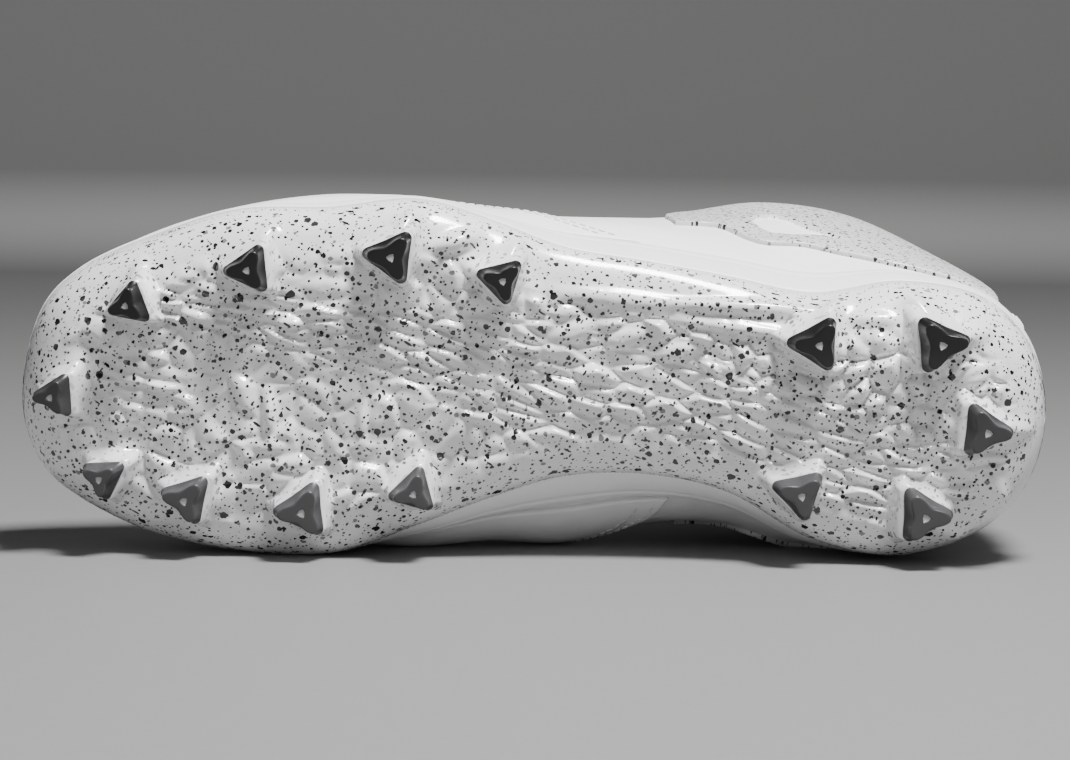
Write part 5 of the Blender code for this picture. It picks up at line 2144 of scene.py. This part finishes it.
@dataclass
class Laces:
    """A flat woven lace that runs through the eyelets and crosses over the tongue."""

    eyelets: Eyelets
    width: float = 0.0065
    thickness: float = 0.0012
    clearance: float = 0.0021
    crown: float = 0.0020
    edge_share: float = 0.3
    over: float = 0.0014
    samples: int = 64
    sides: int = 14

    def path(
        self, start: tuple[int, bool], end: tuple[int, bool], lift: float
    ) -> tuple[Array, ...]:
        """Points, normals and widths of one crossing.

        Args:
            start: Number and side of the eyelet that it leaves.
            end: Number and side of the eyelet that it enters.
            lift: How far it stands over the strand that it crosses.

        Returns:
            Arrays of points, outward directions and widths.
        """
        stand = self.clearance + self.thickness / 2
        ends = []
        for (number, outer), (other, _) in ((start, end), (end, start)):
            point, out, _, _ = self.eyelets.frame(number, outer)
            section = throat_section(number)
            shift = (throat_section(other) - section) * self.edge_share * (-1 if outer else 1)
            place = np.array((RING - section if outer else section) + shift)
            brink_out = LAST.normal(place, 1.0)
            brink = LAST.surface(place, 1.0) + brink_out * (LAST.panel_top + stand)
            stops = [point - out * 0.003, point + out * 0.0006, brink]
            ends.append((stops, [out, out, brink_out]))
        (first, near), (last, far_normals) = ends
        up = unit(near[-1] + far_normals[-1])
        middle = (first[-1] + last[-1]) / 2 + up * (self.crown + lift)
        points = np.array([*first, middle, *last[::-1]])
        normals = np.array([*near, up, *far_normals[::-1]])
        widths = np.array([0.55, 0.6, 1.0, 1.0, 1.0, 0.6, 0.55])[:, None] * self.width
        return tuple(open_spline(values, self.samples) for values in (points, normals, widths))

    def build(self) -> Piece:
        """Makes all crossings as one piece, with its length and width kept for the weave."""
        runs = [((0, True), (0, False), 0.0)]
        for number in range(self.eyelets.count - 1):
            for outer in (True, False):
                lift = 0.0 if outer else self.over
                runs.append(((number, outer), (number + 1, not outer), lift))
        angles = once_round(self.sides)
        wide = np.sign(np.cos(angles)) * np.abs(np.cos(angles)) ** 0.45
        thick = np.sign(np.sin(angles)) * np.abs(np.sin(angles)) ** 0.7
        points, quads, lengths = [], [], []
        for index, ends in enumerate(runs):
            line, normals, widths = self.path(*ends)
            across = unit(np.cross(np.gradient(line, axis=0), normals))
            out = unit(np.cross(across, np.gradient(line, axis=0)))
            out *= np.where((out * normals).sum(-1, keepdims=True) < 0, -1, 1)
            ring = line[:, None] + across[:, None] * (wide[None, :, None] * widths[:, None] / 2)
            ring = ring + out[:, None] * thick[None, :, None] * self.thickness / 2
            points.append(ring.reshape(-1, 3))
            faces = grid_faces(self.samples, self.sides, True)
            quads.append(faces + index * self.samples * self.sides)
            aside = wide[None] * widths / 2
            run = np.broadcast_to(travelled_along(line)[:, None], aside.shape)
            lengths.append(np.stack([run, aside], -1).reshape(-1, 2))
        faces = np.concatenate(quads)
        mesh = Builder.mesh("woven_laces", np.concatenate(points), faces)
        layer = mesh.uv_layers.new(name="weave")
        weave = np.concatenate(lengths)[faces.ravel()]
        layer.data.foreach_set("uv", weave.astype(np.float32).ravel())
        Builder.clean(mesh, 0, outward=True)
        return Builder.add(mesh, [LACE], Slot.LACE, ["laces"], 70.0)


class Seam(NamedTuple):
    """A row of stitches on the upper between places and heights."""

    places: tuple[float, ...]
    rises: tuple[float, ...]
    lift: float


@dataclass
class Stitches:
    """Rows of short thread stitches, made as one piece."""

    seams: Sequence[Seam]
    length: float = 0.0021
    pitch: float = 0.0030
    radius: float = 0.00032
    sides: int = 6
    samples: int = 400

    def build(self) -> Piece:
        """Makes every stitch: a short barrel laid along its seam."""
        turn = once_round(self.sides)
        rings = np.array([-1.0, -0.8, -0.3, 0.3, 0.8, 1.0]) * self.length / 2
        girth = np.array([0.35, 0.8, 1.0, 1.0, 0.8, 0.35])[:, None]
        aside, above = girth * np.cos(turn) * self.radius, girth * np.sin(turn) * self.radius
        each = len(rings) * self.sides
        points, quads, start = [], [], 0
        for seam in self.seams:
            share = np.linspace(0, len(seam.places) - 1, self.samples)
            stops = np.arange(len(seam.places))
            places = np.interp(share, stops, seam.places)
            rises = np.interp(share, stops, seam.rises)
            line = CREASED.press(LAST.offset(places, rises, seam.lift), places, rises)
            out = LAST.normal(places, rises)
            travelled = travelled_along(line)
            at = np.arange(self.pitch, travelled[-1], self.pitch)
            middle = np.stack([np.interp(at, travelled, line[:, k]) for k in range(3)], -1)
            normal = unit(np.stack([np.interp(at, travelled, out[:, k]) for k in range(3)], -1))
            run = unit(np.gradient(middle, axis=0))
            across = np.cross(normal, run)
            shape = (
                middle[:, None, None]
                + run[:, None, None] * rings[None, :, None, None]
                + across[:, None, None] * aside[None, ..., None]
                + normal[:, None, None] * above[None, ..., None]
            )
            faces = grid_faces(len(rings), self.sides, True)
            offsets = start + np.arange(len(at)) * each
            quads.append((faces[None] + offsets[:, None, None]).reshape(-1, 4))
            points.append(shape.reshape(-1, 3))
            start += len(at) * each
        mesh = Builder.mesh("stitches", np.concatenate(points), np.concatenate(quads))
        return Builder.add(mesh, [THREAD], Slot.LACE, [])


@dataclass
class Studio:
    """Plain pale floor with a rounded surround, soft lights and the photo's camera."""

    distance: float = 1.2
    tilt_deg: float = 11.0
    pixels_per_mm: float = 3.43
    image: tuple[int, int] = (1070, 760)
    sensor: float = 36.0
    aim: Triple = (0.1503, 0.00583, 0.015)
    floor_radius: float = 3.0
    floor_bend: float = 1.2
    floor_sides: int = 96

    def camera(self) -> None:
        """Places the camera at the photo's angle to the sole."""
        tilt = math.radians(self.tilt_deg)
        back = np.array([0.0, math.sin(tilt), -math.cos(tilt)])
        up = np.array([0.0, math.cos(tilt), math.sin(tilt)])
        right = np.array([-1.0, 0.0, 0.0])
        place = LAY.points(np.array(self.aim) + back * self.distance)
        axes = [Vector(LAY.directions(axis)) for axis in (right, up, back)]
        data = bpy.data.cameras.new("view")
        data.sensor_width = self.sensor
        data.lens = self.pixels_per_mm * 1000 * self.distance / self.image[0] * self.sensor
        data.clip_end = 50
        view = bpy.data.objects.new("view", data)
        bpy.context.scene.collection.objects.link(view)
        view.matrix_world = Matrix.Translation(place) @ Matrix(axes).transposed().to_4x4()
        bpy.context.scene.camera = view

    def floor(self) -> None:
        """Makes a round floor that turns up softly far from the shoe."""
        flat, bend, sides = self.floor_radius, self.floor_bend, self.floor_sides
        profile = [(0.0, 0.0), (0.6, 0.0), (1.6, 0.0), (flat, 0.0)]
        for turn in np.linspace(0.1, 1.57, 14):
            profile.append((flat + bend * math.sin(turn), bend - bend * math.cos(turn)))
        profile.append((flat + bend, 3.2))
        out, up = np.array(profile).T[..., None]
        turn = once_round(sides)
        rings = (out * np.cos(turn), out * np.sin(turn), np.broadcast_to(up, (len(up), sides)))
        points = np.stack(rings, -1).reshape(-1, 3)
        mesh = bpy.data.meshes.new("studio_floor")
        mesh.from_pydata(points.tolist(), [], grid_faces(len(profile), sides, True).tolist())
        mesh.shade_smooth()
        mesh.materials.append(FLOOR.material())
        made = bpy.data.objects.new("studio_floor", mesh)
        bpy.context.scene.collection.objects.link(made)

    def light(
        self,
        name: str,
        place: Triple,
        size: float,
        power: float,
        target: Triple = (0.0, 0.0, 0.05),
    ) -> None:
        """Adds one soft square light.

        Args:
            name: Name of the light.
            place: Where it stands.
            size: Length of its side.
            power: Watts.
            target: What it looks at.
        """
        data = bpy.data.lights.new(name, "AREA")
        data.shape = "SQUARE"
        data.size = size
        data.energy = power
        lamp = bpy.data.objects.new(name, data)
        bpy.context.scene.collection.objects.link(lamp)
        lamp.location = place
        lamp.rotation_euler = (Vector(target) - Vector(place)).to_track_quat("-Z", "Y").to_euler()

    def build(self) -> None:
        """Sets the whole studio up."""
        self.camera()
        self.floor()
        self.light("key", (0.30, -0.46, 1.20), 0.32, 54)
        self.light("front", (0.9, -1.6, 0.7), 0.8, 4)
        self.light("fill", (-1.5, -1.0, 0.35), 1.2, 6)
        self.light("backdrop", (0.0, 1.4, 1.2), 0.8, 46, (0.0, 4.2, 0.9))
        world = bpy.data.worlds.new("studio")
        bpy.context.scene.world = world
        world.use_nodes = True
        world.node_tree.nodes["Background"].inputs["Color"].default_value = (1, 1, 1, 1)
        world.node_tree.nodes["Background"].inputs["Strength"].default_value = 0.11


def panels() -> list[Panel]:
    """Lists the panels sewn on the upper."""
    made: list[Panel] = [
        GuardPanel("toe_guard_leather", "toe_guard", LEATHER, Slot.LEATHER, 420, 34, (360.0, 34.0)),
        LinedPanel(
            "heel_counter_leather", "heel_counter", LEATHER, Slot.LEATHER,
            60, 40, (42.0, 45.0), lines=COUNTER,
        ),
    ]
    for outer in (False, True):
        side = "outer" if outer else "inner"
        made += [
            LinedPanel(
                f"eyestay_{side}_leather", f"eyestay_{side}", LEATHER, Slot.LEATHER,
                170, 44, (105.0, 24.0), lines=STAY, outer=outer,
            ),
            LinedPanel(
                f"wing_{side}_moulded", f"wing_{side}", PANEL, Slot.PANEL,
                240, 160, (84.0, 70.0), lines=WING, outer=outer, window=WINDOW,
            ),
        ]
    return made


def seams() -> list[Seam]:
    """Lists the rows of stitches."""
    stops, outer_ends, inner_ends = np.array(GUARD_ENDS).T
    guard = np.linspace(0.205, 0.49, 12)
    rows = []
    for outer, ends in ((False, inner_ends), (True, outer_ends)):
        line = fair(stops, ends, guard)
        for sections, rises in (
            (line - 0.14, guard),
            (line - 0.34, guard),
            ((5.65, 7.0, 8.5, 9.92), (0.768,) * 4),
            ((5.64, 5.64), (0.77, 0.97)),
            ((9.93, 9.93), (0.77, 0.97)),
        ):
            rows.append((RING - np.array(sections) if outer else sections, rises))
    rows.append(((14.06, 14.06), (0.20, 0.435)))
    rows.append(((15.94, 15.94), (0.20, 0.435)))
    rows.append(((14.06, 14.5, 15.0, 15.5, 15.94), (0.433, 0.480, 0.510, 0.480, 0.433)))
    top = LAST.panel_top + TUCK
    return [Seam(tuple(places), tuple(rises), top) for places, rises in rows]


def main() -> None:
    """Builds every piece in order."""
    logging.basicConfig(level=logging.INFO, format="%(message)s")
    Studio().build()
    Plate().build()
    for stud in STUDS:
        Cap(stud).build()
    Midsole().build()
    Insole().build()
    eyelets = Eyelets()
    middles = eyelets.middles()
    Upper().build(middles)
    for panel in panels():
        panel.build(middles if panel.name.startswith("eyestay") else None)
    eyelets.build()
    Tongue().build()
    Laces(eyelets).build()
    Stitches(seams()).build()


if __name__ == "__main__":
    main()
